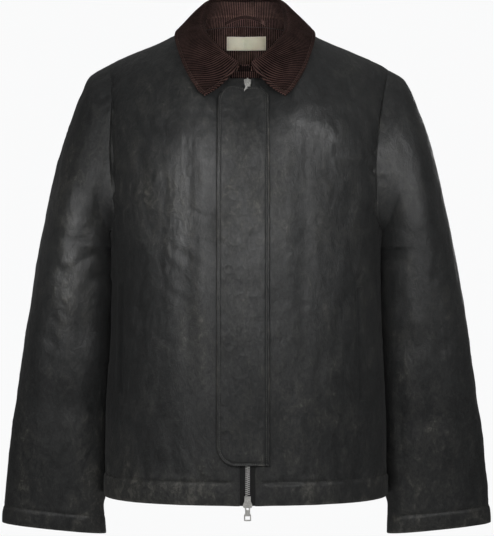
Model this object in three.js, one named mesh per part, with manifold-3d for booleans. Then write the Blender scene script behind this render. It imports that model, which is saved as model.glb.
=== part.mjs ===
// Waxed cotton jacket with a corduroy collar, filled out and hanging as it is worn.
// Millimetres, +Z up. The wearer faces -Y and the wearer's left is +X.
// The origin lies midway between the two shoulder points at the neck.
import * as THREE from 'three';
import Module from 'manifold-3d';

const wasm = await Module();
wasm.setup();

// ---------------------------------------------------------------- driving sizes
const SEAM_GAP = 0.3;        // between neighbouring pieces
const CLOTH = 2.0;           // shell with its lining, one wall
const COLLAR_CLOTH = 3.0;    // two layers of corduroy with the stiffener
const BAND_CLOTH = 2.6;
const FLAP_CLOTH = 3.0;      // the flap is cut double
const WELT_CLOTH = 2.0;
const TAPE_CLOTH = 1.0;
const HEM_Z = -679;
const ARMPIT_Z = -300;
const SHOULDER_SEAM_Y = 6;
const ROUND = 2.3;           // exponent of the body's superellipse
const FRONT_FALL = 200;      // height over which the chest rounds up to the shoulder
const BACK_FALL = 300;
const ZIP_X = 1.5;           // middle of the zip
const ZIP_OPENING = 22;      // between the two front edges
const CHAIN_WIDTH = 5;
const CHAIN_DEPTH = 3;

// Rings of the body. half: half width, front and back: depth from the side seam, shift: of the centre
const BODY = [
  { z: 60, half: 224, front: 155, back: 135, shift: -3.5 },
  { z: -50, half: 224, front: 155, back: 135, shift: -3.5 },
  { z: -100, half: 219, front: 155, back: 136, shift: -3 },
  { z: -180, half: 215, front: 155, back: 136, shift: -2 },
  { z: -240, half: 208, front: 155, back: 134, shift: -1.5 },
  { z: -300, half: 199, front: 155, back: 132, shift: -1 },
  { z: -340, half: 196.5, front: 155, back: 130, shift: -1 },
  { z: -440, half: 199, front: 154, back: 126, shift: -1 },
  { z: -560, half: 204.5, front: 152, back: 125, shift: -1.5 },
  { z: -679, half: 207, front: 150, back: 127, shift: -1.5 },
];
// Height of the shoulder line, continued over the neck opening for each face
const RIDGE = [
  { x: 0, front: -36, back: 61 },
  { x: 30, front: -27, back: 50 },
  { x: 55, front: -9, back: 30.5 },
  { x: 70, front: 0.5, back: 13 },
  { x: 77, front: 2.5, back: 4.5 },
  { x: 84, front: 0.5, back: 0.5 },
  { x: 114, front: -12.8, back: -12.8 },
  { x: 143, front: -25, back: -25 },
  { x: 170, front: -36.5, back: -36.5 },
  { x: 196, front: -48, back: -48 },
  { x: 207, front: -54, back: -54 },
  { x: 230, front: -67, back: -67 },
];
// Neckline, from the middle of each face out to the shoulder seam
const NECK_FRONT = [
  { x: 0, z: -76 }, { x: 30, z: -62 }, { x: 55, z: -34 }, { x: 70, z: -15 }, { x: 74.5, z: -8 }, { x: 78, z: 2.4 },
];
const NECK_BACK = [
  { x: 0, z: 16 }, { x: 30, z: 14 }, { x: 55, z: 9 }, { x: 70, z: 5 }, { x: 78, z: 2.4 },
];
// Armhole. turn: 0 at the shoulder, 180 at the armpit; the angle round the body on each side
const ARMHOLE = [
  { turn: 0, frontLeft: 70, frontRight: 61, backLeft: 70, backRight: 61 },
  { turn: 45, frontLeft: 65, frontRight: 58, backLeft: 66, backRight: 60 },
  { turn: 90, frontLeft: 59, frontRight: 61.5, backLeft: 63, backRight: 64 },
  { turn: 135, frontLeft: 66, frontRight: 66.5, backLeft: 68, backRight: 68 },
  { turn: 157.5, frontLeft: 77, frontRight: 77, backLeft: 77, backRight: 77 },
  { turn: 180, frontLeft: 90, frontRight: 90, backLeft: 90, backRight: 90 },
];
// Outer line of each sleeve as seen from the front
const SLEEVE_OUTER = [
  { z: -42, left: 180, right: 187 },
  { z: -48, left: 191.8, right: 199.2 },
  { z: -54, left: 203.6, right: 210.9 },
  { z: -60, left: 213.9, right: 221.2 },
  { z: -65.8, left: 224.2, right: 229 },
  { z: -71.6, left: 231, right: 233.5 },
  { z: -86.3, left: 240.3, right: 239.5 },
  { z: -101, left: 246.2, right: 246.2 },
  { z: -130.4, left: 257.5, right: 256.5 },
  { z: -159.8, left: 267.5, right: 266.8 },
  { z: -218.6, left: 283, right: 283 },
  { z: -277.4, left: 296, right: 295 },
  { z: -336, left: 307, right: 306.5 },
  { z: -424, left: 322.5, right: 321 },
  { z: -483, left: 331, right: 330 },
  { z: -601, left: 347.7, right: 347.7 },
  { z: -724, left: 361.8, right: 361.5 },
];
// Inner line of each sleeve, just clear of the body
const SLEEVE_INNER = [
  { z: -300, left: 199.6, right: 201.6 },
  { z: -318, left: 199.4, right: 201.4 },
  { z: -340, left: 199, right: 201 },
  { z: -440, left: 201.5, right: 203.5 },
  { z: -560, left: 206.5, right: 209.5 },
  { z: -679, left: 209, right: 211.5 },
  { z: -740, left: 208, right: 208 },
];
// Rings of a sleeve. reach: along the outer line from the armhole; inner: height of the ring's inner point;
// front and back: its depth; round: exponent
const SLEEVE = [
  { reach: 0, inner: -300, front: -76, back: 66, round: 2 },
  { reach: 50, inner: -303.5, front: -81, back: 73, round: 2 },
  { reach: 122, inner: -308, front: -84, back: 80, round: 2 },
  { reach: 212, inner: -313.5, front: -84, back: 83, round: 2 },
  { reach: 287, inner: -318, front: -80, back: 82, round: 2.05 },
  { reach: 392, inner: -423.5, front: -66, back: 75, round: 2.1 },
  { reach: 470, inner: -502, front: -53, back: 69, round: 2.15 },
  { reach: 590, inner: -622, front: -27, back: 60, round: 2.25 },
  { reach: 708, inner: -740, front: -4, back: 54, round: 2.3 },
];
const SLEEVE_RINGS = [0, 10, 22, 36, 50, 70, 95, 122, 150, 180, 212, 248, 287, 320, 356, 392, 430, 470, 510, 550, 590, 630, 670, 708];
// Roll line of the collar, from the front round to the middle of the back
const COLLAR_ROLL = [
  { x: 9, y: -104, z: -59 },
  { x: 27, y: -100, z: -46 },
  { x: 47.5, y: -85, z: -25 },
  { x: 59, y: -63, z: -9 },
  { x: 62.5, y: -38, z: 5 },
  { x: 62, y: -12, z: 22 },
  { x: 58.5, y: 13, z: 38 },
  { x: 53, y: 33, z: 49 },
  { x: 40, y: 53, z: 54.5 },
  { x: 20, y: 65, z: 56 },
  { x: 0, y: 68, z: 56 },
];
// Outer edge of the collar fall, from its point round to the middle of the back.
// proud: how far it stands off the garment under it
const COLLAR_EDGE = [
  { x: 58.5, z: -110, proud: 9 },
  { x: 67, z: -101, proud: 8 },
  { x: 75, z: -87, proud: 7 },
  { x: 83.5, z: -68, proud: 7 },
  { x: 92, z: -45, proud: 7 },
  { x: 98.5, z: -22, proud: 7 },
];
const COLLAR_EDGE_BACK = [
  { x: 101, y: -6, z: 0 },
  { x: 98, y: 28, z: 0 },
  { x: 85, y: 62, z: -4 },
  { x: 62, y: 84, z: -6 },
  { x: 32, y: 96, z: -6 },
  { x: 0, y: 100, z: -6 },
];
// Large folds pressed into the cloth: from (x0, z0) to (x1, z1), width of the fold, height (+ out, - in)
const BODY_FOLDS = [
  { face: -1, x0: 60, z0: -110, x1: 190, z1: -200, width: 30, height: 4 },
  { face: -1, x0: 70, z0: -160, x1: 180, z1: -245, width: 28, height: -3.5 },
  { face: -1, x0: -120, z0: -420, x1: -70, z1: -660, width: 40, height: 4 },
  { face: -1, x0: 110, z0: -470, x1: 90, z1: -670, width: 38, height: 3.5 },
  { face: 1, x0: -150, z0: -190, x1: -40, z1: -330, width: 34, height: 4 },
  { face: 1, x0: 150, z0: -200, x1: 50, z1: -340, width: 34, height: 4 },
  { face: 1, x0: 20, z0: -420, x1: 50, z1: -660, width: 42, height: 4.5 },
];
// Creases round a sleeve: reach along it, turn round it where the crease is deepest, spread in degrees
const SLEEVE_FOLDS = [
  { side: 1, reach: 430, turn: 150, width: 22, spread: 60, height: -5 },
  { side: 1, reach: 545, turn: 110, width: 26, spread: 60, height: -4 },
  { side: -1, reach: 405, turn: 150, width: 22, spread: 60, height: -5 },
  { side: -1, reach: 520, turn: 110, width: 26, spread: 60, height: -4 },
];
// Storm flap: its long edges and ends, as seen from the front, its corner radii, and how far its face stands
// off the fronts. collarCut: where its top corner passes under the collar; topLift: over the top slider's tab
const FLAP = { right: -40.3, left: 32, top: -91.2, bottom: -623, topCorner: 21, bottomCorner: 26, collarCut: 9, proud: 4.4, topLift: 3.8 };
// Neck band: x to each side, top in the middle and under the collar, bottom
const BAND = { right: -22, left: 20, middle: 5.2, top: -60, shoulder: -69, bottom: -77.8, yTop: -99.5, yBottom: -104.5 };
// Facing inside the back of the neck, and the label on it
const FACING = { half: 66, bottom: -64, thick: 1.5 };
const LABEL = { half: 31, top: 3.5, bottom: -16, thick: 0.8 };
// Hanger loop: its ends, its rise and how far it stands into the neck
const LOOP = { right: -31, left: 29, z: 19, rise: 9, stand: 7, y: 62.5, width: 5, thick: 1.6 };
// Pocket welts: x of the opening edge from top to bottom, and the welt's width outwards
const WELTS = [
  { name: 'pocket_welt_left', side: 1, top: -369, bottom: -541, xTop: 156, xBottom: 160.5, width: 15 },
  { name: 'pocket_welt_right', side: -1, top: -362, bottom: -534, xTop: 176, xBottom: 178, width: 13 },
];
// Zip sliders: middle height, width of the wide and the narrow end, length, and the height of the tab's axis
const TOP_SLIDER = { z: -86.2, wide: 10.5, narrow: 8, length: 11, wideEndUp: true, axis: -2.4, lie: 0.13 };
const BOTTOM_SLIDER = { z: -673.6, wide: 13, narrow: 9, length: 16, wideEndUp: false, axis: -3.7, lie: 0 };
const SLIDER = { plate: 1.5, gap: 3.2, post: 2.2 };
const BRIDGE = { width: 2.2, bar: 1.2, cavity: 2.6, length: 6, clear: 1.1 };
const TAB = { head: 8, width: 10, length: 23, thick: 1.5, bar: 1.3, window: 3.4, windowLength: 6.2, ringLength: 9, rim: 1.7 };

// Counts along the pieces
const COLS_NECK = 5, COLS_SHOULDER = 6, ROWS_SIDE = 9, ROWS_ARMHOLE = 10;

// ---------------------------------------------------------------- tables and curves
const lerp = (a, b, t) => a + (b - a) * t;
const clamp = (v, lo, hi) => Math.min(hi, Math.max(lo, v));
const rad = d => d * Math.PI / 180;

// A smooth curve through one column of a table, without overshoot
function column(rows, key, col) {
  const pts = rows.map(r => [r[key], r[col]]).sort((a, b) => a[0] - b[0]);
  const n = pts.length, h = [], d = [], m = new Array(n).fill(0);
  for (let i = 0; i < n - 1; i++) { h.push(pts[i + 1][0] - pts[i][0]); d.push((pts[i + 1][1] - pts[i][1]) / h[i]); }
  m[0] = d[0]; m[n - 1] = d[n - 2];
  for (let i = 1; i < n - 1; i++) {
    if (d[i - 1] * d[i] <= 0) m[i] = 0;
    else {
      const w1 = 2 * h[i] + h[i - 1], w2 = h[i] + 2 * h[i - 1];
      m[i] = (w1 + w2) / (w1 / d[i - 1] + w2 / d[i]);
    }
  }
  return v => {
    if (v <= pts[0][0]) return pts[0][1];
    if (v >= pts[n - 1][0]) return pts[n - 1][1];
    let i = 0;
    while (v > pts[i + 1][0]) i++;
    const t = (v - pts[i][0]) / h[i], t2 = t * t, t3 = t2 * t;
    return (2 * t3 - 3 * t2 + 1) * pts[i][1] + (t3 - 2 * t2 + t) * h[i] * m[i]
      + (-2 * t3 + 3 * t2) * pts[i + 1][1] + (t3 - t2) * h[i] * m[i + 1];
  };
}

// A list of points walked by arc length: at(0) is its start and at(1) its end
function path(points) {
  const s = [0];
  for (let i = 1; i < points.length; i++) s.push(s[i - 1] + points[i].distanceTo(points[i - 1]));
  const total = s[s.length - 1];
  return {
    total,
    at(f) {
      const v = clamp(f, 0, 1) * total;
      let i = 0;
      while (i < points.length - 2 && v > s[i + 1]) i++;
      return points[i].clone().lerp(points[i + 1], (v - s[i]) / Math.max(1e-9, s[i + 1] - s[i]));
    },
  };
}

// ---------------------------------------------------------------- the body's surface
const halfAt = column(BODY, 'z', 'half');
const depthAt = { '-1': column(BODY, 'z', 'front'), 1: column(BODY, 'z', 'back') };
const shiftAt = column(BODY, 'z', 'shift');
const ridgeAt = { '-1': column(RIDGE, 'x', 'front'), 1: column(RIDGE, 'x', 'back') };
const fallOf = { '-1': FRONT_FALL, 1: BACK_FALL };

function foldAt(face, x, z) {
  let out = 0;
  for (const f of BODY_FOLDS) {
    if (f.face !== face) continue;
    const dx = f.x1 - f.x0, dz = f.z1 - f.z0, len = Math.hypot(dx, dz);
    const along = ((x - f.x0) * dx + (z - f.z0) * dz) / len, off = ((x - f.x0) * dz - (z - f.z0) * dx) / len;
    const t = along / len;
    if (t < -0.3 || t > 1.3) continue;
    const end = Math.exp(-Math.pow((t - 0.5) / 0.42, 4));
    out += f.height * end * Math.exp(-(off * off) / (f.width * f.width));
  }
  return out;
}

// face: -1 front, +1 back. ax: distance from the centre line (signed), z: height
function bodyY(face, ax, z, folds = true) {
  const half = halfAt(z);
  const c = Math.pow(Math.max(0, 1 - Math.pow(Math.min(1, Math.abs(ax) / half), ROUND)), 1 / ROUND);
  const deep = depthAt[face](z) * c;
  const h = clamp((ridgeAt[face](Math.abs(ax)) - z) / fallOf[face], 0, 1);
  const r = Math.sqrt(Math.max(0, 1 - (1 - h) * (1 - h)));
  const fold = folds ? foldAt(face, ax, z) * Math.min(1, c * 1.6) * Math.min(1, h * 4) : 0;
  return SHOULDER_SEAM_Y * (1 - r) + face * (deep * r + fold);
}
const bodyPoint = (face, ax, z, out = 0) => {
  const p = new THREE.Vector3(ax + shiftAt(z), bodyY(face, ax, z), z);
  if (out) {
    const e = 2;
    const dx = (bodyY(face, ax + e, z) - bodyY(face, ax - e, z)) / (2 * e);
    const dz = (bodyY(face, ax, z + e) - bodyY(face, ax, z - e)) / (2 * e);
    const n = new THREE.Vector3(-face * dx, face, -face * dz).normalize();
    p.addScaledVector(n, out);
  }
  return p;
};
// The same surface by angle round the body: 0 in the middle of a face, 90 at the side seam
const angleToX = (angle, z) => halfAt(z) * Math.pow(Math.sin(rad(clamp(angle, 0, 90))), 2 / ROUND);
const xToAngle = (x, z) => Math.asin(Math.pow(clamp(Math.abs(x) / halfAt(z), 0, 1), ROUND / 2)) * 180 / Math.PI;

// Armhole point in (angle, z)
const armholeAngle = {};
for (const key of ['frontLeft', 'frontRight', 'backLeft', 'backRight']) armholeAngle[key] = column(ARMHOLE, 'turn', key);
function armholeAt(face, side, turn) {
  const key = (face < 0 ? 'front' : 'back') + (side > 0 ? 'Left' : 'Right');
  const angle = armholeAngle[key](turn);
  const tipAngle = armholeAngle[key](0);
  const tipZ = ridgeAt[face](angleToX(tipAngle, -50));
  const z = lerp(tipZ, ARMPIT_Z, (1 - Math.cos(rad(turn))) / 2);
  return { angle, z };
}
function onBody(face, side, angle, z) {
  const ax = side * angleToX(angle, z);
  return new THREE.Vector3(ax + shiftAt(z), bodyY(face, ax, z), z);
}

// One half panel of the body as a grid of points, hem to top and middle to side
function halfPanel(face, side, middleX, cols, rows) {
  const neck = face < 0 ? NECK_FRONT : NECK_BACK;
  const neckZ = column(neck, 'x', 'z');
  const nCols = cols.neck + cols.shoulder, dense = 160;
  // top edge: neckline, then shoulder
  const tip = armholeAt(face, side, 0), tipX = angleToX(tip.angle, tip.z);
  const top = [];
  const neckPts = [], shoulderPts = [];
  for (let k = 0; k <= 60; k++) {
    const a = k / 60, x = lerp(middleX, 78, Math.sin(a * Math.PI / 2));
    neckPts.push(new THREE.Vector3(x, bodyY(face, x, neckZ(x), false), neckZ(x)));
    const xs = lerp(78, tipX, a);
    shoulderPts.push(new THREE.Vector3(xs, SHOULDER_SEAM_Y, ridgeAt[face](xs)));
  }
  const neckPath = path(neckPts), shoulderPath = path(shoulderPts);
  for (let i = 0; i <= nCols; i++) {
    const p = i <= cols.neck ? neckPath.at(i / cols.neck) : shoulderPath.at((i - cols.neck) / cols.shoulder);
    top.push({ angle: i === nCols ? tip.angle : xToAngle(p.x, p.z), z: p.z });
  }
  // hem edge
  const hemPts = [];
  const hemFrom = xToAngle(middleX, HEM_Z);
  for (let k = 0; k <= 200; k++) hemPts.push(onBody(face, side, lerp(hemFrom, 90, k / 200), HEM_Z));
  const hemPath = path(hemPts), hemAngles = [];
  for (let i = 0; i <= nCols; i++) {
    const target = i / nCols * hemPath.total;
    let walked = 0, k = 1;
    while (k < 200 && walked + hemPts[k].distanceTo(hemPts[k - 1]) < target) { walked += hemPts[k].distanceTo(hemPts[k - 1]); k++; }
    hemAngles.push(lerp(hemFrom, 90, i === nCols ? 1 : (i === 0 ? 0 : k / 200)));
  }
  const topZ = neckZ(middleX);
  // edges by height fraction: 0 hem, 1 armpit, 2 top
  const inner = t => {
    const z = t <= 1 ? lerp(HEM_Z, ARMPIT_Z + 20, t) : lerp(ARMPIT_Z + 20, topZ, t - 1);
    return { angle: xToAngle(middleX, z), z };
  };
  const outer = t => t <= 1 ? { angle: 90, z: lerp(HEM_Z, ARMPIT_Z, t) } : armholeAt(face, side, 180 * (2 - t));
  const grid = [];
  const nRows = rows.side + rows.armhole;
  for (let j = 0; j <= nRows; j++) grid.push([]);
  for (let i = 0; i <= nCols; i++) {
    const s = i / nCols;
    const line = [];
    for (let k = 0; k <= dense; k++) {
      const t = 2 * k / dense, weight = Math.pow(k / dense, 1.6);
      const a = inner(t), b = outer(t);
      const hemBend = hemAngles[i] - lerp(hemFrom, 90, s);
      const topBendA = top[i].angle - lerp(top[0].angle, top[nCols].angle, s);
      const topBendZ = top[i].z - lerp(top[0].z, top[nCols].z, s);
      const angle = lerp(a.angle, b.angle, s) + (1 - weight) * hemBend + weight * topBendA;
      const z = lerp(a.z, b.z, s) + weight * topBendZ;
      line.push(k === dense ? onTop(face, side, top[i], i >= cols.neck) : onBody(face, side, angle, z));
    }
    const lower = path(line.slice(0, dense / 2 + 1)), upper = path(line.slice(dense / 2));
    for (let j = 0; j <= nRows; j++) {
      let p;
      if (i === nCols) {
        const t = j <= rows.side ? j / rows.side : 1 + (j - rows.side) / rows.armhole;
        const o = outer(t);
        p = j === nRows ? onTop(face, side, top[i], true) : onBody(face, side, o.angle, o.z);
      } else p = j <= rows.side ? lower.at(j / rows.side) : upper.at((j - rows.side) / rows.armhole);
      grid[j].push(p);
    }
  }
  return grid;
}
function onTop(face, side, top, shoulder) {
  const ax = side * angleToX(top.angle, top.z);
  return new THREE.Vector3(ax + shiftAt(top.z), shoulder ? SHOULDER_SEAM_Y : bodyY(face, ax, top.z, false), top.z);
}

// ---------------------------------------------------------------- solids from grids
// grid[j][i] of outer points; the wall goes inwards. closed: the rows are rings.
// hint(p, j, i): a direction that roughly points out of the cloth there
function gridNormals(grid, closed, hint) {
  const nj = grid.length, ni = grid[0].length;
  let sum = 0;
  const normals = grid.map((row, j) => row.map((p, i) => {
    const il = closed ? (i + ni - 1) % ni : Math.max(0, i - 1), ir = closed ? (i + 1) % ni : Math.min(ni - 1, i + 1);
    const jl = Math.max(0, j - 1), jr = Math.min(nj - 1, j + 1);
    const n = new THREE.Vector3().subVectors(grid[j][ir], grid[j][il])
      .cross(new THREE.Vector3().subVectors(grid[jr][i], grid[jl][i]));
    if (n.lengthSq() < 1e-12) n.set(0, 0, 1);
    n.normalize();
    sum += n.dot(hint(p, j, i));
    return n;
  }));
  if (sum < 0) for (const row of normals) for (const n of row) n.negate();
  return normals;
}
function wall(grid, thickness, hint, { closed = false, fixNormal = null } = {}) {
  const nj = grid.length, ni = grid[0].length;
  const normals = gridNormals(grid, closed, hint);
  if (fixNormal) for (let j = 0; j < nj; j++) for (let i = 0; i < ni; i++) fixNormal(normals[j][i], j, i);
  const inner = grid.map((row, j) => row.map((p, i) => p.clone().addScaledVector(normals[j][i], -thickness)));
  const positions = [];
  const push = p => { positions.push(p.x, p.y, p.z); return positions.length / 3 - 1; };
  const A = grid.map(row => row.map(push)), B = inner.map(row => row.map(push));
  const tris = [];
  const quad = (a, b, c, d) => {
    const P = k => new THREE.Vector3(positions[3 * k], positions[3 * k + 1], positions[3 * k + 2]);
    if (P(a).distanceToSquared(P(c)) <= P(b).distanceToSquared(P(d))) tris.push([a, b, c], [a, c, d]);
    else tris.push([a, b, d], [b, c, d]);
  };
  const last = closed ? ni : ni - 1;
  for (let j = 0; j < nj - 1; j++) for (let i = 0; i < last; i++) {
    const k = (i + 1) % ni;
    quad(A[j][i], A[j][k], A[j + 1][k], A[j + 1][i]);
    quad(B[j][i], B[j + 1][i], B[j + 1][k], B[j][k]);
  }
  for (let i = 0; i < last; i++) {
    const k = (i + 1) % ni;
    quad(A[0][k], A[0][i], B[0][i], B[0][k]);
    quad(A[nj - 1][i], A[nj - 1][k], B[nj - 1][k], B[nj - 1][i]);
  }
  if (!closed) for (let j = 0; j < nj - 1; j++) {
    quad(A[j][0], A[j + 1][0], B[j + 1][0], B[j][0]);
    quad(A[j + 1][ni - 1], A[j][ni - 1], B[j][ni - 1], B[j + 1][ni - 1]);
  }
  return facing(positions, tris);
}
// A geometry whose faces point out
function facing(positions, tris) {
  let volume = 0;
  const P = k => new THREE.Vector3(positions[3 * k], positions[3 * k + 1], positions[3 * k + 2]);
  for (const [a, b, c] of tris) volume += P(a).dot(P(b).cross(P(c)));
  const index = volume > 0 ? tris.flat() : tris.flatMap(([a, b, c]) => [a, c, b]);
  const g = new THREE.BufferGeometry();
  g.setAttribute('position', new THREE.Float32BufferAttribute(positions, 3));
  g.setIndex(index);
  return g;
}
function toManifold(g) {
  const p = g.getAttribute('position').array, seen = new Map(), verts = [], remap = [];
  for (let i = 0; i < p.length; i += 3) {
    const key = [p[i], p[i + 1], p[i + 2]].map(v => Math.round(v * 2000)).join();
    if (!seen.has(key)) { seen.set(key, verts.length / 3); verts.push(p[i], p[i + 1], p[i + 2]); }
    remap.push(seen.get(key));
  }
  const index = g.index ? Array.from(g.index.array) : remap.map((_, i) => i);
  const tri = [];
  for (let i = 0; i < index.length; i += 3) {
    const [a, b, c] = [remap[index[i]], remap[index[i + 1]], remap[index[i + 2]]];
    if (a !== b && b !== c && c !== a) tri.push(a, b, c);
  }
  return new wasm.Manifold(new wasm.Mesh({ numProp: 3, vertProperties: new Float32Array(verts), triVerts: new Uint32Array(tri) }));
}
function fromManifold(m) {
  const mesh = m.getMesh(), g = new THREE.BufferGeometry();
  g.setAttribute('position', new THREE.BufferAttribute(new Float32Array(mesh.vertProperties), 3));
  g.setIndex(Array.from(mesh.triVerts));
  return g;
}
const placed = (g, x, y, z, rx = 0) => { g.rotateX(rx); g.translate(x, y, z); return g; };

// ---------------------------------------------------------------- materials
const finish = (color, roughness, metalness = 0) => new THREE.MeshStandardMaterial({ color, roughness, metalness });
const waxed = () => finish(0x33342f, 0.55);
const corduroy = () => finish(0x3b2925, 0.95);
const nickel = () => finish(0xb9b6ae, 0.3, 1);

const jacket = new THREE.Group();
function add(name, geometry, material) {
  const mesh = new THREE.Mesh(geometry, material);
  mesh.name = name;
  jacket.add(mesh);
  return mesh;
}

// ---------------------------------------------------------------- fronts and back
const FORWARD = new THREE.Vector3(0, -1, 0), BACKWARD = new THREE.Vector3(0, 1, 0);
const cols = { neck: COLS_NECK, shoulder: COLS_SHOULDER }, rows = { side: ROWS_SIDE, armhole: ROWS_ARMHOLE };
const flatNormal = (nCols, nRows) => (n, j, i) => {
  if (i === nCols || (j === nRows && i >= COLS_NECK)) { n.y = 0; n.normalize(); }
};
function frontPanel(side) {
  const edge = ZIP_OPENING / 2 + side * ZIP_X;
  const grid = halfPanel(-1, side, edge, cols, rows);
  const nCols = grid[0].length - 1, nRows = grid.length - 1;
  for (let j = 0; j <= nRows; j++) {
    if (j <= ROWS_SIDE) grid[j][nCols].y = -SEAM_GAP / 2;
    grid[j][0].x = side * edge;
  }
  for (let i = COLS_NECK; i <= nCols; i++) grid[nRows][i].y -= SEAM_GAP / 2;
  return wall(grid, CLOTH, () => FORWARD, { fixNormal: flatNormal(nCols, nRows) });
}
add('front_right', frontPanel(-1), waxed());
add('front_left', frontPanel(1), waxed());

function backPanel() {
  const left = halfPanel(1, 1, 0, cols, rows), right = halfPanel(1, -1, 0, cols, rows);
  const nRows = left.length - 1;
  for (const half of [left, right]) {
    const n = half[0].length - 1;
    for (let j = 0; j <= ROWS_SIDE; j++) half[j][n].y = SEAM_GAP / 2;
    for (let i = COLS_NECK; i <= n; i++) half[nRows][i].y += SEAM_GAP / 2;
  }
  const grid = left.map((row, j) => [...row.slice(1).reverse(), ...right[j]]);
  const n = left[0].length - 1;
  return wall(grid, CLOTH, () => BACKWARD, {
    fixNormal: (v, j, i) => {
      const k = Math.abs(i - n);
      if (k === n || (j === nRows && k >= COLS_NECK)) { v.y = 0; v.normalize(); }
    },
  });
}
add('back', backPanel(), waxed());

// ---------------------------------------------------------------- sleeves
const outerX = { 1: column(SLEEVE_OUTER, 'z', 'left'), '-1': column(SLEEVE_OUTER, 'z', 'right') };
const innerX = { 1: column(SLEEVE_INNER, 'z', 'left'), '-1': column(SLEEVE_INNER, 'z', 'right') };
const sleeveInner = column(SLEEVE, 'reach', 'inner'), sleeveFront = column(SLEEVE, 'reach', 'front');
const sleeveBack = column(SLEEVE, 'reach', 'back'), sleeveRound = column(SLEEVE, 'reach', 'round');

// The armhole as a loop: turn 0 at the shoulder, down the front to 180 at the armpit, up the back to 360
function armholeLoop(side, turn) {
  const face = turn <= 180 ? -1 : 1, t = turn <= 180 ? turn : 360 - turn;
  const a = armholeAt(face, side, t);
  if (t === 0) return onTop(face, side, a, true);
  if (t === 180) return new THREE.Vector3(side * angleToX(90, a.z) + shiftAt(a.z), 0, a.z);
  return onBody(face, side, a.angle, a.z);
}
function sleeveOuterPath(side) {
  const tip = armholeLoop(side, 0), pts = [tip];
  for (let z = tip.z - 1; z > -724; z -= 1) {
    const x = Math.max(outerX[side](z), Math.abs(tip.x) + Math.min(6, tip.z - z) * 0.5);
    pts.push(new THREE.Vector3(side * x, 0, z));
  }
  pts.push(new THREE.Vector3(side * outerX[side](-724), 0, -724));
  return path(pts);
}
const sleevePath = { 1: sleeveOuterPath(1), '-1': sleeveOuterPath(-1) };
function sleevePoint(side, reach, turn) {
  const total = 708, f = reach / total;
  const out = sleevePath[side].at(f);
  const zin = sleeveInner(reach), inn = new THREE.Vector3(side * innerX[side](zin), 0, zin);
  const m = 2 / sleeveRound(reach), c = Math.cos(rad(turn)), s = Math.sin(rad(turn));
  const along = Math.sign(c) * Math.pow(Math.abs(c), m), across = Math.pow(Math.abs(s), m);
  const y = s >= 0 ? sleeveFront(reach) : sleeveBack(reach);
  const lean = (sleeveFront(reach) + sleeveBack(reach)) / 2 * clamp((reach - 287) / 421, 0, 1);
  const p = out.clone().add(inn).multiplyScalar(0.5).addScaledVector(out.clone().sub(inn), along / 2);
  p.y = lean + (y - lean) * across;
  const fade = Math.pow(clamp(1 - reach / 95, 0, 1), 2);
  if (fade > 0) {
    const tip = armholeLoop(side, 0), pit = armholeLoop(side, 180);
    const flat = tip.clone().add(pit).multiplyScalar(0.5).addScaledVector(tip.clone().sub(pit), along / 2);
    flat.y = (s >= 0 ? sleeveFront(0) : sleeveBack(0)) * across;
    p.addScaledVector(armholeLoop(side, turn).sub(flat), fade);
  }
  return p;
}
function sleeveFold(side, reach, turn) {
  let out = 0;
  for (const f of SLEEVE_FOLDS) {
    if (f.side !== side) continue;
    const dr = (reach - f.reach) / f.width, dt = (turn - f.turn) / f.spread;
    out += f.height * Math.exp(-dr * dr) * Math.exp(-dt * dt);
  }
  return out;
}
function sleeve(side) {
  const around = 2 * ROWS_ARMHOLE, grid = [];
  for (const reach of SLEEVE_RINGS) {
    const row = [];
    for (let i = 0; i < around; i++) {
      const turn = 360 * i / around;
      row.push(sleevePoint(side, reach, turn));
    }
    grid.push(row);
  }
  const hint = (p, j, i) => p.clone().sub(grid[j][(i + around / 2) % around]);
  const n = gridNormals(grid, true, hint);
  SLEEVE_RINGS.forEach((reach, j) => grid[j].forEach((p, i) => p.addScaledVector(n[j][i], sleeveFold(side, reach, 360 * i / around))));
  // the first ring stands one seam gap outside the armhole
  for (let i = 0; i < around; i++) {
    const step = grid[1][i].clone().sub(grid[0][i]).normalize();
    grid[0][i].addScaledVector(step, SEAM_GAP);
    grid[0][i].x += side * SEAM_GAP * 0.6;
  }
  return wall(grid, CLOTH, hint, { closed: true });
}
add('sleeve_right', sleeve(-1), waxed());
add('sleeve_left', sleeve(1), waxed());

// ---------------------------------------------------------------- collar
const neckShift = -2.2;
const fromNeck = p => new THREE.Vector3(p.x - neckShift, p.y + 10, 0);
function halfCurve(list) {
  const pts = list.map(p => new THREE.Vector3(p.x, p.y, p.z));
  return new THREE.CatmullRomCurve3(pts, false, 'centripetal');
}
const rollHalf = halfCurve(COLLAR_ROLL);
const edgeHalf = halfCurve([
  ...COLLAR_EDGE.map(e => { const p = bodyPoint(-1, e.x, e.z, e.proud); return { x: p.x - shiftAt(e.z), y: p.y, z: p.z }; }),
  ...COLLAR_EDGE_BACK,
]);
// Neckline from the front edge round to the middle of the back, as the panels' top edges run
const NECK_STEPS = 2;        // columns of the stand to each column of a panel
const neckPoints = [];
{
  const front = halfPanel(-1, 1, ZIP_OPENING / 2, cols, rows).at(-1), back = halfPanel(1, 1, 0, cols, rows).at(-1);
  const line = [...front.slice(0, COLS_NECK + 1), ...back.slice(0, COLS_NECK).reverse()];
  for (const p of line) p.x -= shiftAt(p.z);
  for (let k = 0; k < line.length - 1; k++)
    for (let n = 0; n < NECK_STEPS; n++) neckPoints.push(line[k].clone().lerp(line[k + 1], n / NECK_STEPS));
  neckPoints.push(line[line.length - 1]);
}
const neckPath = path(neckPoints);
const neckFraction = neckPoints.map((p, k) => path(neckPoints.slice(0, Math.max(2, k + 1))).total / neckPath.total * (k ? 1 : 0));
// half: 0 at the front, 1 at the middle of the back; mirrored for the other side
function both(fn, s) {
  const half = s <= 0.5 ? s * 2 : (1 - s) * 2, side = s <= 0.5 ? -1 : 1;
  const p = fn(half);
  return new THREE.Vector3(side * p.x + neckShift, p.y, p.z);
}
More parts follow.
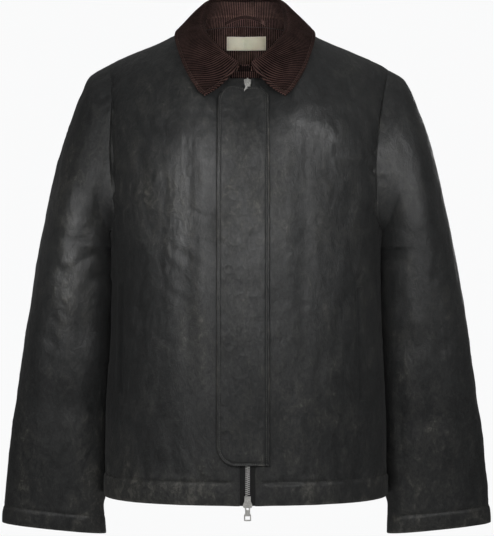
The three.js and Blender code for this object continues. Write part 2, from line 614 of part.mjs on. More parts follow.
// fraction of the way along the roll that lies over a fraction of the way along the neckline or edge
function collarFall() {
  const nS = 44, nT = 6, grid = [];
  for (let i = 0; i <= nS; i++) {
    const s = i / nS, half = s <= 0.5 ? s * 2 : (1 - s) * 2;
    const top = both(f => rollHalf.getPointAt(f), s), low = both(f => edgeHalf.getPointAt(f), s);
    const side = s <= 0.5 ? -1 : 1;
    const chord = low.clone().sub(top);
    const row = [];
    const outwards = new THREE.Vector3(top.x + low.x - 2 * neckShift, top.y + low.y + 20, 0).normalize();
    const roundness = lerp(3, 9, Math.min(1, half * 2));
    for (let j = 0; j <= nT; j++) {
      const t = j / nT;
      const p = top.clone().addScaledVector(chord, t);
      p.addScaledVector(outwards, roundness * Math.sin(Math.PI * Math.pow(t, 0.6)) * 0.55);
      p.z += roundness * Math.sin(Math.PI * Math.pow(t, 0.55)) * 0.55;
      // the short front edge bows towards the middle
      const bow = 6 * 4 * t * (1 - t) * Math.pow(1 - half, 14);
      p.x -= side * bow * 0.72; p.z -= bow * 0.69;
      row.push(p);
    }
    grid.push(row);
  }
  return wall(grid, COLLAR_CLOTH, fromNeck);
}
add('collar_fall', collarFall(), corduroy());

function collarStand() {
  const n = neckPoints.length - 1, nT = 3, grid = [];
  for (let i = 0; i <= 2 * n; i++) {
    const k = i <= n ? i : 2 * n - i, side = i <= n ? -1 : 1, f = neckFraction[k];
    const mirror = (p, shift) => new THREE.Vector3(side * p.x + shift, p.y, p.z);
    const low = mirror(neckPoints[k], shiftAt(neckPoints[k].z)), top = mirror(rollHalf.getPointAt(f), neckShift);
    const row = [];
    const up = top.clone().sub(low), len = up.length();
    // sewn to the neckline below, and short of the roll above, inside the fall
    const inwards = new THREE.Vector3(-(top.x - neckShift), -(top.y + 8), 0).normalize();
    for (let j = 0; j <= nT; j++) {
      const t = lerp((k < 4 ? 1.2 : 0.5) / len, 1 - 4.4 / len, j / nT);
      row.push(low.clone().addScaledVector(up, t).addScaledVector(inwards, 3.8 * t * t));
    }
    grid.push(row);
  }
  return wall(grid, CLOTH, fromNeck);
}
add('collar_stand', collarStand(), corduroy());

// Band of corduroy that closes the neck between the collar's ends
function neckBand() {
  const nI = 14, nJ = 6, grid = [];
  for (let j = 0; j <= nJ; j++) {
    const row = [];
    for (let i = 0; i <= nI; i++) {
      const x = lerp(BAND.right, BAND.left, i / nI);
      const off = Math.abs(x - neckShift);
      const top = lerp(BAND.top, BAND.shoulder, clamp((off - BAND.middle) / 3, 0, 1));
      const z = lerp(BAND.bottom, top, j / nJ);
      const y = lerp(BAND.yBottom, BAND.yTop, (z - BAND.bottom) / (BAND.top - BAND.bottom)) + x * x * 0.004;
      row.push(new THREE.Vector3(x, y, z));
    }
    grid.push(row);
  }
  return wall(grid, BAND_CLOTH, () => FORWARD);
}
add('neck_band', neckBand(), corduroy());

// ---------------------------------------------------------------- inside the back of the neck
const backNeckZ = column(NECK_BACK, 'x', 'z');
function neckFacing() {
  const nI = 16, nJ = 5, grid = [];
  for (let j = 0; j <= nJ; j++) {
    const row = [];
    for (let i = 0; i <= nI; i++) {
      const ax = lerp(-FACING.half, FACING.half, i / nI), u = Math.abs(ax) / FACING.half;
      const z = lerp(FACING.bottom + 14 * u * u, backNeckZ(Math.abs(ax)) - 2.2, j / nJ);
      row.push(bodyPoint(1, ax, z, -(CLOTH + 1.1)));
    }
    grid.push(row);
  }
  return wall(grid, FACING.thick, () => BACKWARD);
}
add('neck_facing', neckFacing(), corduroy());

function neckLabel() {
  const nI = 8, nJ = 2, grid = [];
  for (let j = 0; j <= nJ; j++) {
    const row = [];
    for (let i = 0; i <= nI; i++) {
      const z = lerp(LABEL.bottom, LABEL.top, j / nJ), x = lerp(-LABEL.half, LABEL.half, i / nI);
      row.push(bodyPoint(1, x - shiftAt(z), z, -(CLOTH + 1.1 + FACING.thick + 0.5)));
    }
    grid.push(row);
  }
  return wall(grid, LABEL.thick, () => BACKWARD);
}
add('neck_label', neckLabel(), finish(0xa29f8e, 0.7));

function hangerLoop() {
  const nI = 16, grid = [[], []];
  for (let i = 0; i <= nI; i++) {
    const u = i / nI, arch = Math.sin(Math.PI * u);
    const c = new THREE.Vector3(lerp(LOOP.right, LOOP.left, u), LOOP.y - 2.6 * 4 * (u - 0.5) * (u - 0.5) - LOOP.stand * arch, LOOP.z + LOOP.rise * arch);
    grid[0].push(c.clone().add(new THREE.Vector3(0, 0, -LOOP.width / 2)));
    grid[1].push(c.clone().add(new THREE.Vector3(0, 0, LOOP.width / 2)));
  }
  return wall(grid, LOOP.thick, () => FORWARD);
}
add('hanger_loop', hangerLoop(), corduroy());

// ---------------------------------------------------------------- zip
// The wall's own line down the middle of the fronts
const frontAt = (x, z, out = 0) => bodyPoint(-1, x - shiftAt(z), z, out);
function strip(x0, x1, zTop, zBottom, out, thick, nI = 1, nJ = 22) {
  const grid = [];
  for (let j = 0; j <= nJ; j++) {
    const z = lerp(zBottom, zTop, j / nJ), row = [];
    for (let i = 0; i <= nI; i++) { const p = frontAt(lerp(x0, x1, i / nI), z, out); p.z = z; row.push(p); }
    grid.push(row);
  }
  return wall(grid, thick, () => FORWARD);
}
const chainTop = TOP_SLIDER.z - TOP_SLIDER.length / 2 - 1.2, chainBottom = BOTTOM_SLIDER.z + BOTTOM_SLIDER.length / 2 + SEAM_GAP;
const half = CHAIN_WIDTH / 2;
add('zip_tape_right', strip(ZIP_X - ZIP_OPENING / 2 + SEAM_GAP, ZIP_X - half - SEAM_GAP, chainTop, -677, -0.5, TAPE_CLOTH), finish(0x1c1c1b, 0.9));
add('zip_tape_left', strip(ZIP_X + half + SEAM_GAP, ZIP_X + ZIP_OPENING / 2 - SEAM_GAP, chainTop, -677, -0.5, TAPE_CLOTH), finish(0x1c1c1b, 0.9));
add('zip_chain', strip(ZIP_X - half, ZIP_X + half, chainTop, chainBottom, 0.5, CHAIN_DEPTH), nickel());

// A plate in the XZ plane, front face at y0, back face at y0 + depth
function plate(shape, y0, depth) {
  const g = new THREE.ExtrudeGeometry(shape, { depth, bevelEnabled: false, curveSegments: 6 });
  g.rotateX(Math.PI / 2);
  g.translate(0, y0 + depth, 0);
  return toManifold(g);
}
function polygon(points) { return new THREE.Shape(points.map(([x, z]) => new THREE.Vector2(x, z))); }
function block(x0, x1, y0, y1, z0, z1) {
  const g = new THREE.BoxGeometry(x1 - x0, y1 - y0, z1 - z0);
  g.translate((x0 + x1) / 2, (y0 + y1) / 2, (z0 + z1) / 2);
  return toManifold(g);
}
// Slider about the middle of the chain: two plates, the post between them, and the bridge that holds the tab
function slider(spec) {
  const L = spec.length / 2, up = spec.wideEndUp ? 1 : -1;
  const outline = polygon([
    [-spec.narrow / 2, -L * up], [spec.narrow / 2, -L * up], [spec.narrow / 2, -L * 0.1 * up], [spec.wide / 2, L * 0.45 * up],
    [spec.wide / 2, L * 0.8 * up], [spec.wide / 2 - 1.2, L * up], [-spec.wide / 2 + 1.2, L * up], [-spec.wide / 2, L * 0.8 * up],
    [-spec.wide / 2, L * 0.45 * up], [-spec.narrow / 2, -L * 0.1 * up],
  ]);
  const g = SLIDER.gap / 2, front = -g - SLIDER.plate;
  let body = plate(outline, front, SLIDER.plate).add(plate(outline, g, SLIDER.plate));
  body = body.add(block(-SLIDER.post / 2, SLIDER.post / 2, -g - 0.2, g + 0.2, L * up > 0 ? L - 3.4 : -L, L * up > 0 ? L : -L + 3.4));
  const z0 = spec.axis - BRIDGE.clear, z1 = z0 + BRIDGE.length, w = BRIDGE.width / 2, far = front - BRIDGE.cavity;
  body = body.add(block(-w, w, far - BRIDGE.bar, far, z0 - BRIDGE.bar, z1 + BRIDGE.bar));
  body = body.add(block(-w, w, far - 0.2, front + 0.2, z0 - BRIDGE.bar, z0));
  body = body.add(block(-w, w, far - 0.2, front + 0.2, z1, z1 + BRIDGE.bar));
  return fromManifold(body);
}
const axisY = -(SLIDER.gap / 2 + SLIDER.plate + BRIDGE.cavity / 2);
// Pull tab about its axis, hanging down: a bar through the bridge, a window round the bridge, a ring at the end
function pullTab() {
  const b = TAB.bar / 2, h = TAB.head / 2, w = TAB.width / 2, end = b - TAB.length, ring = end + TAB.ringLength;
  const outline = polygon([
    [-h + 0.8, b], [h - 0.8, b], [h, b - 0.8], [h - 0.6, ring + 2], [w, ring - 1], [w, end + 1], [w - 1, end], [-w + 1, end],
    [-w, end + 1], [-w, ring - 1], [-h + 0.6, ring + 2], [-h, b - 0.8],
  ]);
  const win = TAB.window / 2, r = w - TAB.rim;
  const hole = pts => new THREE.Path(pts.map(([x, z]) => new THREE.Vector2(x, z)));
  outline.holes.push(hole([[-win, -b], [-win, -b - TAB.windowLength], [win, -b - TAB.windowLength], [win, -b]]));
  outline.holes.push(hole([[-r, ring - TAB.rim - 0.6], [-r, end + TAB.rim], [r, end + TAB.rim], [r, ring - TAB.rim - 0.6]]));
  return fromManifold(plate(outline, -TAB.thick / 2, TAB.thick));
}
const middle = z => frontAt(ZIP_X, z, 0.5 - CHAIN_DEPTH / 2);
function addSlider(name, spec, tabName) {
  const p = middle(spec.z), a = middle(spec.z + 3), b = middle(spec.z - 3);
  const holder = new THREE.Group();
  holder.position.set(ZIP_X, p.y, spec.z);
  holder.rotation.x = -Math.atan2(a.y - b.y, a.z - b.z);
  jacket.add(holder);
  const mesh = new THREE.Mesh(slider(spec), nickel());
  mesh.name = name;
  holder.add(mesh);
  const tab = new THREE.Mesh(pullTab(), nickel());
  tab.name = tabName;
  tab.position.set(0, axisY, spec.axis);
  tab.rotation.x = spec.lie;
  holder.add(tab);
  return holder;
}
addSlider('zip_slider_bottom', BOTTOM_SLIDER, 'pull_tab');
addSlider('zip_slider_top', TOP_SLIDER, 'pull_tab_top');

// ---------------------------------------------------------------- storm flap and pocket welts
function stormFlap() {
  const nI = 7, grid = [];
  const zs = [];
  const { top, bottom, topCorner, bottomCorner } = FLAP;
  for (let k = 0; k <= 4; k++) zs.push(bottom + bottomCorner * (1 - Math.cos(k / 4 * Math.PI / 2)));
  for (let k = 1; k < 16; k++) zs.push(lerp(bottom + bottomCorner, top - topCorner, k / 16));
  for (let k = 4; k >= 0; k--) zs.push(top - topCorner * (1 - Math.cos(k / 4 * Math.PI / 2)));
  for (const z of zs) {
    const low = clamp((bottom + bottomCorner - z) / bottomCorner, 0, 1), high = clamp((z - top + topCorner) / topCorner, 0, 1);
    const right = FLAP.right + bottomCorner * (1 - Math.sqrt(1 - low * low)) * 0.98 + topCorner * (1 - Math.sqrt(1 - high * high)) * 0.98;
    const left = FLAP.left - FLAP.collarCut * clamp((z - top + 12) / 12, 0, 1);
    const row = [];
    for (let i = 0; i <= nI; i++) { const lift = FLAP.topLift * Math.exp(-Math.pow((z - top) / 26, 2)); row.push(frontAt(lerp(right, left, i / nI), z, FLAP.proud + lift)); }
    grid.push(row);
  }
  return wall(grid, FLAP_CLOTH, () => FORWARD);
}
add('storm_flap', stormFlap(), waxed());

for (const welt of WELTS) {
  const nJ = 8, grid = [];
  for (let j = 0; j <= nJ; j++) {
    const z = lerp(welt.bottom, welt.top, j / nJ), x = lerp(welt.xBottom, welt.xTop, j / nJ), row = [];
    for (let i = 0; i <= 2; i++) row.push(frontAt(welt.side * (x + welt.width * i / 2), z, WELT_CLOTH + 1));
    grid.push(row);
  }
  add(welt.name, wall(grid, WELT_CLOTH, () => FORWARD), waxed());
}

export default jacket;
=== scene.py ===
import math

import bpy
import numpy as np
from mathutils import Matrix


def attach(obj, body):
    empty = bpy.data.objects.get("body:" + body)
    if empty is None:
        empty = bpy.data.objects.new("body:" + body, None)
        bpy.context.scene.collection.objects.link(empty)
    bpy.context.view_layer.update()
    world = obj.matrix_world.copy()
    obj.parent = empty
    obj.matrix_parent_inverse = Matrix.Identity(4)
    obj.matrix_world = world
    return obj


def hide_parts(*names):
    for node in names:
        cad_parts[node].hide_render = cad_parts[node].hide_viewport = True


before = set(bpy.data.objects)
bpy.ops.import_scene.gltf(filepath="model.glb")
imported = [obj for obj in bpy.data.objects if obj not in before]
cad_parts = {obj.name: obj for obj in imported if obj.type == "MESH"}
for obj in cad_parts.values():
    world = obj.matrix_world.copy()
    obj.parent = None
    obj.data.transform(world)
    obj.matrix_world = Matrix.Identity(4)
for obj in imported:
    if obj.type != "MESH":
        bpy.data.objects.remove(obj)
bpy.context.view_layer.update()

# ------------------------------------------------------------------ camera
# Level, in front of the jacket; 1 pixel is 1.47 mm in the plane of the side seams.
MM_PER_PX, DISTANCE, EYE_Z = 1.47, 2800.0, -348.0
cam_data = bpy.data.cameras.new("camera")
cam_data.sensor_width = 36.0
cam_data.lens = 36.0 * DISTANCE / (536 * MM_PER_PX)
cam = bpy.data.objects.new("camera", cam_data)
cam.location = (0.0007, -DISTANCE / 1000, EYE_Z / 1000)
cam.rotation_euler = (math.pi / 2, 0, 0)
bpy.context.scene.collection.objects.link(cam)
bpy.context.scene.camera = cam
bpy.context.scene.view_settings.view_transform = "Standard"

# ------------------------------------------------------------------ sizes, in millimetres, as the solids have them
SEAM_GAP, CLOTH, COLLAR_CLOTH, BAND_CLOTH, FLAP_CLOTH, WELT_CLOTH, TAPE_CLOTH = 0.3, 2.0, 3.0, 2.6, 3.0, 2.0, 1.0
HEM_Z, ARMPIT_Z, SHOULDER_SEAM_Y, ROUND = -679.0, -300.0, 6.0, 2.3
FALL = {-1: 200.0, 1: 300.0}
ZIP_X, ZIP_OPENING, CHAIN_WIDTH = 1.5, 22.0, 5.0
NECK_SHIFT = -2.2
HEM_DEPTH, CUFF_DEPTH = 32.0, 26.0

# z, half width, depth of the front, depth of the back, shift of the centre
BODY = np.array([
    (60, 224, 155, 135, -3.5), (-50, 224, 155, 135, -3.5), (-100, 219, 155, 136, -3), (-180, 215, 155, 136, -2),
    (-240, 208, 155, 134, -1.5), (-300, 199, 155, 132, -1), (-340, 196.5, 155, 130, -1), (-440, 199, 154, 126, -1),
    (-560, 204.5, 152, 125, -1.5), (-679, 207, 150, 127, -1.5)], float)
# x, height of the shoulder line for the front and for the back
RIDGE = np.array([
    (0, -36, 61), (30, -27, 50), (55, -9, 30.5), (70, 0.5, 13), (77, 2.5, 4.5), (84, 0.5, 0.5), (114, -12.8, -12.8),
    (143, -25, -25), (170, -36.5, -36.5), (196, -48, -48), (207, -54, -54), (230, -67, -67)], float)
NECK = {-1: np.array([(0, -76), (30, -62), (55, -34), (70, -15), (74.5, -8), (78, 2.4)], float),
        1: np.array([(0, 16), (30, 14), (55, 9), (70, 5), (78, 2.4)], float)}
# turn, angle on the front left, front right, back left, back right
ARMHOLE = np.array([
    (0, 70, 61, 70, 61), (45, 65, 58, 66, 60), (90, 59, 61.5, 63, 64), (135, 66, 66.5, 68, 68),
    (157.5, 77, 77, 77, 77), (180, 90, 90, 90, 90)], float)
# z, outer line of the left and of the right sleeve
SLEEVE_OUTER = np.array([
    (-42, 180, 187), (-48, 191.8, 199.2), (-54, 203.6, 210.9), (-60, 213.9, 221.2), (-65.8, 224.2, 229),
    (-71.6, 231, 233.5), (-86.3, 240.3, 239.5), (-101, 246.2, 246.2), (-130.4, 257.5, 256.5), (-159.8, 267.5, 266.8),
    (-218.6, 283, 283), (-277.4, 296, 295), (-336, 307, 306.5), (-424, 322.5, 321), (-483, 331, 330),
    (-601, 347.7, 347.7), (-724, 361.8, 361.5)], float)
SLEEVE_INNER = np.array([
    (-300, 199.6, 201.6), (-318, 199.4, 201.4), (-340, 199, 201), (-440, 201.5, 203.5), (-560, 206.5, 209.5),
    (-679, 209, 211.5), (-740, 208, 208)], float)
# reach, height of the inner point, front, back, exponent
SLEEVE = np.array([
    (0, -300, -76, 66, 2), (50, -303.5, -81, 73, 2), (122, -308, -84, 80, 2), (212, -313.5, -84, 83, 2),
    (287, -318, -80, 82, 2.05), (392, -423.5, -66, 75, 2.1), (470, -502, -53, 69, 2.15), (590, -622, -27, 60, 2.25),
    (708, -740, -4, 54, 2.3)], float)
COLLAR_ROLL = np.array([
    (9, -104, -59), (27, -100, -46), (47.5, -85, -25), (59, -63, -9), (62.5, -38, 5), (62, -12, 22), (58.5, 13, 38),
    (53, 33, 49), (40, 53, 54.5), (20, 65, 56), (0, 68, 56)], float)
COLLAR_EDGE = [(58.5, -110, 9), (67, -101, 8), (75, -87, 7), (83.5, -68, 7), (92, -45, 7), (98.5, -22, 7)]
COLLAR_EDGE_BACK = [(101, -6, 0), (98, 28, 0), (85, 62, -4), (62, 84, -6), (32, 96, -6), (0, 100, -6)]
BODY_FOLDS = [
    (-1, 60, -110, 190, -200, 30, 4), (-1, 70, -160, 180, -245, 28, -3.5), (-1, -120, -420, -70, -660, 40, 4),
    (-1, 110, -470, 90, -670, 38, 3.5), (1, -150, -190, -40, -330, 34, 4), (1, 150, -200, 50, -340, 34, 4),
    (1, 20, -420, 50, -660, 42, 4.5)]
SLEEVE_FOLDS = [(1, 430, 150, 22, 60, -5), (1, 545, 110, 26, 60, -4), (-1, 405, 150, 22, 60, -5), (-1, 520, 110, 26, 60, -4)]


# ------------------------------------------------------------------ curves through tables
def column(table, col, key=0):
    """A smooth curve through one column of a table, without overshoot."""
    rows = table[np.argsort(table[:, key])]
    x, y = rows[:, key], rows[:, col]
    h, d = np.diff(x), np.diff(y) / np.diff(x)
    m = np.zeros(len(x))
    m[0], m[-1] = d[0], d[-1]
    for i in range(1, len(x) - 1):
        if d[i - 1] * d[i] > 0:
            w1, w2 = 2 * h[i] + h[i - 1], h[i] + 2 * h[i - 1]
            m[i] = (w1 + w2) / (w1 / d[i - 1] + w2 / d[i])

    def f(v):
        v = np.clip(np.asarray(v, float), x[0], x[-1])
        i = np.clip(np.searchsorted(x, v, side="right") - 1, 0, len(h) - 1)
        t = (v - x[i]) / h[i]
        t2, t3 = t * t, t * t * t
        return ((2 * t3 - 3 * t2 + 1) * y[i] + (t3 - 2 * t2 + t) * h[i] * m[i]
                + (-2 * t3 + 3 * t2) * y[i + 1] + (t3 - t2) * h[i] * m[i + 1])
    return f


def arc(points):
    return np.concatenate([[0], np.cumsum(np.linalg.norm(np.diff(points, axis=0), axis=1))])


def along(points, f):
    """The points at fractions f of a line's length."""
    s = arc(points)
    return np.stack([np.interp(np.asarray(f) * s[-1], s, points[:, k]) for k in range(points.shape[1])], axis=-1)


def catmull(points, n=900):
    """A centripetal Catmull-Rom curve as n points evenly spaced along it."""
    p = np.vstack([2 * points[0] - points[1], points, 2 * points[-1] - points[-2]])
    out = []
    per = 40
    for k in range(len(points) - 1):
        a, b, c, d = p[k], p[k + 1], p[k + 2], p[k + 3]
        d0, d1, d2 = (max(1e-4, float(((q - r) ** 2).sum()) ** 0.25) for q, r in ((b, a), (c, b), (d, c)))
        t1 = ((b - a) / d0 - (c - a) / (d0 + d1) + (c - b) / d1) * d1
        t2 = ((c - b) / d1 - (d - b) / (d1 + d2) + (d - c) / d2) * d1
        t = np.linspace(0, 1, per, endpoint=k == len(points) - 2)[:, None]
        out.append(b + t1 * t + (-3 * b + 3 * c - 2 * t1 - t2) * t ** 2 + (2 * b - 2 * c + t1 + t2) * t ** 3)
    return along(np.vstack(out), np.linspace(0, 1, n))


def mix(a, b, t):
    return a + (b - a) * t


def ramp(v, lo, hi):
    t = np.clip((v - lo) / (hi - lo), 0, 1)
    return t * t * (3 - 2 * t)


# ------------------------------------------------------------------ noise, the same each run
_cube = np.random.default_rng(7).random((8, 32, 32, 32)) * 2 - 1


def noise(P, size, seed=0):
    """Smooth noise from -1 to 1 at points P, with features of size (x, y, z) in millimetres."""
    q = P / np.asarray(size, float) + 11.37 * (seed + 1)
    i = np.floor(q).astype(int)
    f = q - i
    f = f * f * f * (f * (6 * f - 15) + 10)
    g = _cube[seed % 8]
    total = 0
    for a in (0, 1):
        for b in (0, 1):
            for c in (0, 1):
                w = (f[..., 0] if a else 1 - f[..., 0]) * (f[..., 1] if b else 1 - f[..., 1]) * (f[..., 2] if c else 1 - f[..., 2])
                total = total + w * g[(i[..., 0] + a) % 32, (i[..., 1] + b) % 32, (i[..., 2] + c) % 32]
    return total


def crinkle(P, size, seed=0, sharp=2.0):
    """Thin ridges from 0 to 1 where noise passes zero, as in pressed and crumpled cloth."""
    warp = np.stack([noise(P, 60, seed + 2), noise(P, 60, seed + 3), noise(P, 60, seed + 4)], -1) * 14
    return (1 - np.abs(noise(P + warp, size, seed))) ** (2 * sharp)


# ------------------------------------------------------------------ the body's surface
half_at, shift_at = column(BODY, 1), column(BODY, 4)
depth_at = {-1: column(BODY, 2), 1: column(BODY, 3)}
ridge_at = {-1: column(RIDGE, 1), 1: column(RIDGE, 2)}
neck_z = {f: column(NECK[f], 1) for f in (-1, 1)}


def fold_at(face, x, z):
    out = 0.0
    for f, x0, z0, x1, z1, width, height in BODY_FOLDS:
        if f != face:
            continue
        dx, dz = x1 - x0, z1 - z0
        length = math.hypot(dx, dz)
        t, off = ((x - x0) * dx + (z - z0) * dz) / length / length, ((x - x0) * dz - (z - z0) * dx) / length
        out = out + height * np.exp(-((t - 0.5) / 0.42) ** 4) * np.exp(-(off / width) ** 2)
    return out


def body_y(face, ax, z, folds=True):
    c = np.maximum(0, 1 - np.minimum(1, np.abs(ax) / half_at(z)) ** ROUND) ** (1 / ROUND)
    h = np.clip((ridge_at[face](np.abs(ax)) - z) / FALL[face], 0, 1)
    r = np.sqrt(np.maximum(0, 1 - (1 - h) ** 2))
    fold = fold_at(face, ax, z) * np.minimum(1, c * 1.6) * np.minimum(1, h * 4) if folds else 0
    return SHOULDER_SEAM_Y * (1 - r) + face * (depth_at[face](z) * c * r + fold)


def body_point(face, ax, z, out=0.0):
    ax, z = np.broadcast_arrays(np.asarray(ax, float), np.asarray(z, float))
    e = 2.0
    dx = (body_y(face, ax + e, z) - body_y(face, ax - e, z)) / (2 * e)
    dz = (body_y(face, ax, z + e) - body_y(face, ax, z - e)) / (2 * e)
    n = np.stack([-face * dx, np.full_like(dx, face), -face * dz], -1)
    n /= np.linalg.norm(n, axis=-1, keepdims=True)
    p = np.stack([ax + shift_at(z), body_y(face, ax, z), z], -1)
    return p + n * np.asarray(out, float)[..., None]


def front_at(x, z, out=0.0):
    p = body_point(-1, x - shift_at(z), z, out)
    p[..., 2] = np.broadcast_to(z, p[..., 2].shape)
    return p


def angle_to_x(angle, z):
    return half_at(z) * np.sin(np.radians(np.clip(angle, 0, 90))) ** (2 / ROUND)


def x_to_angle(x, z):
    return np.degrees(np.arcsin(np.clip(np.abs(x) / half_at(z), 0, 1) ** (ROUND / 2)))


arm_col = {(-1, 1): 1, (-1, -1): 2, (1, 1): 3, (1, -1): 4}
arm_angle = {k: column(ARMHOLE, c) for k, c in arm_col.items()}


def armhole_at(face, side, turn):
    angle, tip = arm_angle[face, side](turn), arm_angle[face, side](0.0)
    tip_z = ridge_at[face](angle_to_x(tip, -50.0))
    return angle, mix(tip_z, ARMPIT_Z, (1 - np.cos(np.radians(turn))) / 2)


def on_body(face, side, angle, z):
    ax = side * angle_to_x(angle, z)
    return np.stack([ax + shift_at(z), body_y(face, ax, z), z + 0 * ax], -1)


SPLIT = 5 / 11  # where the neckline ends and the shoulder begins, across a panel's top edge


def half_panel(face, side, middle_x, s_list, low_f, up_f):
    """One half panel, hem to top and middle to side: rows at fractions low_f up to the armpit and up_f above it."""
    tip_angle, tip_z = armhole_at(face, side, 0.0)
    tip_x = float(angle_to_x(tip_angle, tip_z))
    a = np.linspace(0, 1, 200)
    nx = mix(middle_x, 78, np.sin(a * math.pi / 2))
    nz = neck_z[face](nx)
    neck_line = np.stack([nx, body_y(face, nx, nz, False), nz], -1)
    sx = mix(78, tip_x, a)
    shoulder = np.stack([sx, np.full_like(sx, SHOULDER_SEAM_Y), ridge_at[face](sx)], -1)
    hem_from = x_to_angle(middle_x, HEM_Z)
    ha = mix(hem_from, 90, np.linspace(0, 1, 600))
    hs = arc(on_body(face, side, ha, np.full_like(ha, HEM_Z)))
    top_z = float(neck_z[face](middle_x))
    dense = 320
    k = np.arange(dense + 1)
    t, weight = 2 * k / dense, (k / dense) ** 1.6
    iz = np.where(t <= 1, mix(HEM_Z, ARMPIT_Z + 20, t), mix(ARMPIT_Z + 20, top_z, t - 1))
    ia = x_to_angle(middle_x, iz)
    oa, oz = armhole_at(face, side, 180 * np.clip(2 - t, 0, 1))
    oa, oz = np.where(t <= 1, 90, oa), np.where(t <= 1, mix(HEM_Z, ARMPIT_Z, t), oz)
    first = None
    tops = []
    for s in list(s_list) + [0.0, 1.0]:
        p = along(neck_line, s / SPLIT) if s <= SPLIT else along(shoulder, (s - SPLIT) / (1 - SPLIT))
        tops.append((tip_angle if s == 1 else x_to_angle(p[0], p[2]), p[2]))
    t0, t1 = tops[-2], tops[-1]
    grid = []
    for s, (ta, tz) in zip(s_list, tops):
        hem_angle = np.interp(s * hs[-1], hs, ha)
        bend_a, bend_z = ta - mix(t0[0], t1[0], s), tz - mix(t0[1], t1[1], s)
        angle = mix(ia, oa, s) + (1 - weight) * (hem_angle - mix(hem_from, 90, s)) + weight * bend_a
        z = mix(iz, oz, s) + weight * bend_z
        line = on_body(face, side, angle, z)
        ax = side * float(angle_to_x(ta, tz))
        line[-1] = (ax + float(shift_at(tz)), SHOULDER_SEAM_Y if s >= SPLIT else float(body_y(face, ax, tz, False)), tz)
        if s >= 1:
            low = on_body(face, side, np.full(len(low_f), 90.0), mix(HEM_Z, ARMPIT_Z, low_f))
            ua, uz = armhole_at(face, side, 180 * (1 - up_f[1:]))
            up = on_body(face, side, ua, uz)
            up[-1] = line[-1]
        else:
            low, up = along(line[:dense // 2 + 1], low_f), along(line[dense // 2:], up_f[1:])
        grid.append(np.vstack([low, up]))
    g = np.stack(grid, axis=1)
    g[len(low_f) + 0:, :, :] = g[len(low_f) + 0:, :, :]
    if s_list[-1] >= 1:
        g[:len(low_f), -1, 1] = face * SEAM_GAP / 2
    g[-1, [i for i, s in enumerate(s_list) if s >= SPLIT], 1] += face * SEAM_GAP / 2
    return g


# ------------------------------------------------------------------ the sleeves' surface
outer_x = {1: column(SLEEVE_OUTER, 1), -1: column(SLEEVE_OUTER, 2)}
inner_x = {1: column(SLEEVE_INNER, 1), -1: column(SLEEVE_INNER, 2)}
s_inner, s_front, s_back, s_round = (column(SLEEVE, k) for k in (1, 2, 3, 4))


def armhole_loop(side, turn):
    turn = np.asarray(turn, float)
    out = np.zeros(turn.shape + (3,))
    for face in (-1, 1):
        use = turn <= 180 if face < 0 else turn > 180
        t = np.where(turn <= 180, turn, 360 - turn)[use]
        a, z = armhole_at(face, side, t)
        p = on_body(face, side, a, z)
        p[t < 1e-6, 1] = SHOULDER_SEAM_Y
        p[np.abs(t - 180) < 1e-6, 1] = 0
        out[use] = p
    return out


def outer_path(side):
    tip = armhole_loop(side, np.array([0.0]))[0]
    z = np.arange(tip[2] - 1, -724, -1.0)
    x = np.maximum(outer_x[side](z), abs(tip[0]) + np.minimum(6, tip[2] - z) * 0.5)
    pts = np.stack([side * x, 0 * z, z], -1)
    return np.vstack([tip, pts, [side * float(outer_x[side](-724)), 0, -724]])


def sleeve_rings(side, reaches, turns):
    line = outer_path(side)
    tip, pit = armhole_loop(side, np.array([0.0]))[0], armhole_loop(side, np.array([180.0]))[0]
    loop = armhole_loop(side, turns)
    c, s = np.cos(np.radians(turns)), np.sin(np.radians(turns))
    rings = []
    for reach in reaches:
        out = along(line, reach / 708)
        zin = float(s_inner(reach))
        inn = np.array([side * float(inner_x[side](zin)), 0, zin])
        m = 2 / float(s_round(reach))
        al, ac = np.sign(c) * np.abs(c) ** m, np.abs(s) ** m
        yf, yb = float(s_front(reach)), float(s_back(reach))
        y = np.where(s >= 0, yf, yb)
        lean = (yf + yb) / 2 * min(1, max(0, (reach - 287) / 421))
        p = (out + inn) / 2 + (out - inn) * al[:, None] / 2
        p[:, 1] = lean + (y - lean) * ac
        fade = max(0, 1 - reach / 95) ** 2
        if fade > 0:
            flat = (tip + pit) / 2 + (tip - pit) * al[:, None] / 2
            flat[:, 1] = np.where(s >= 0, float(s_front(0)), float(s_back(0))) * ac
            p = p + (loop - flat) * fade
        rings.append(p)
    return np.stack(rings)


# ------------------------------------------------------------------ meshes from grids
def grid_normals(P, closed=False, hint=None):
    if closed:
        du = np.roll(P, -1, 1) - np.roll(P, 1, 1)
    else:
        du = np.gradient(P, axis=1)
    dv = np.gradient(P, axis=0)
    n = np.cross(du, dv)
    n /= np.maximum(np.linalg.norm(n, axis=-1, keepdims=True), 1e-9)
    if hint is not None and (n * hint).sum() < 0:
        n = -n
    return n


def link(mesh, name, material):
    obj = bpy.data.objects.new(name, mesh)
    bpy.context.scene.collection.objects.link(obj)
    mesh.materials.append(material)
    return obj


def mesh_of(name, verts, quads, smooth=True, tris=None):
    mesh = bpy.data.meshes.new(name)
    faces = [tuple(q) for q in np.asarray(quads).tolist()]
    if tris is not None:
        faces += [tuple(q) for q in np.asarray(tris).tolist()]
    mesh.from_pydata((np.asarray(verts) / 1000).tolist(), [], faces)
    mesh.validate()
    mesh.polygons.foreach_set("use_smooth", [smooth] * len(mesh.polygons))
    mesh.update()
    return mesh


def paint(mesh, **values):
    """Numbers at the points that the materials read, such as wear together with painted shade and painted highlights,
    and where a wale lies.
    """
    for name, v in values.items():
        layer = mesh.attributes.new(name, "FLOAT", "POINT")
        layer.data.foreach_set("value", np.asarray(v, np.float32).ravel())


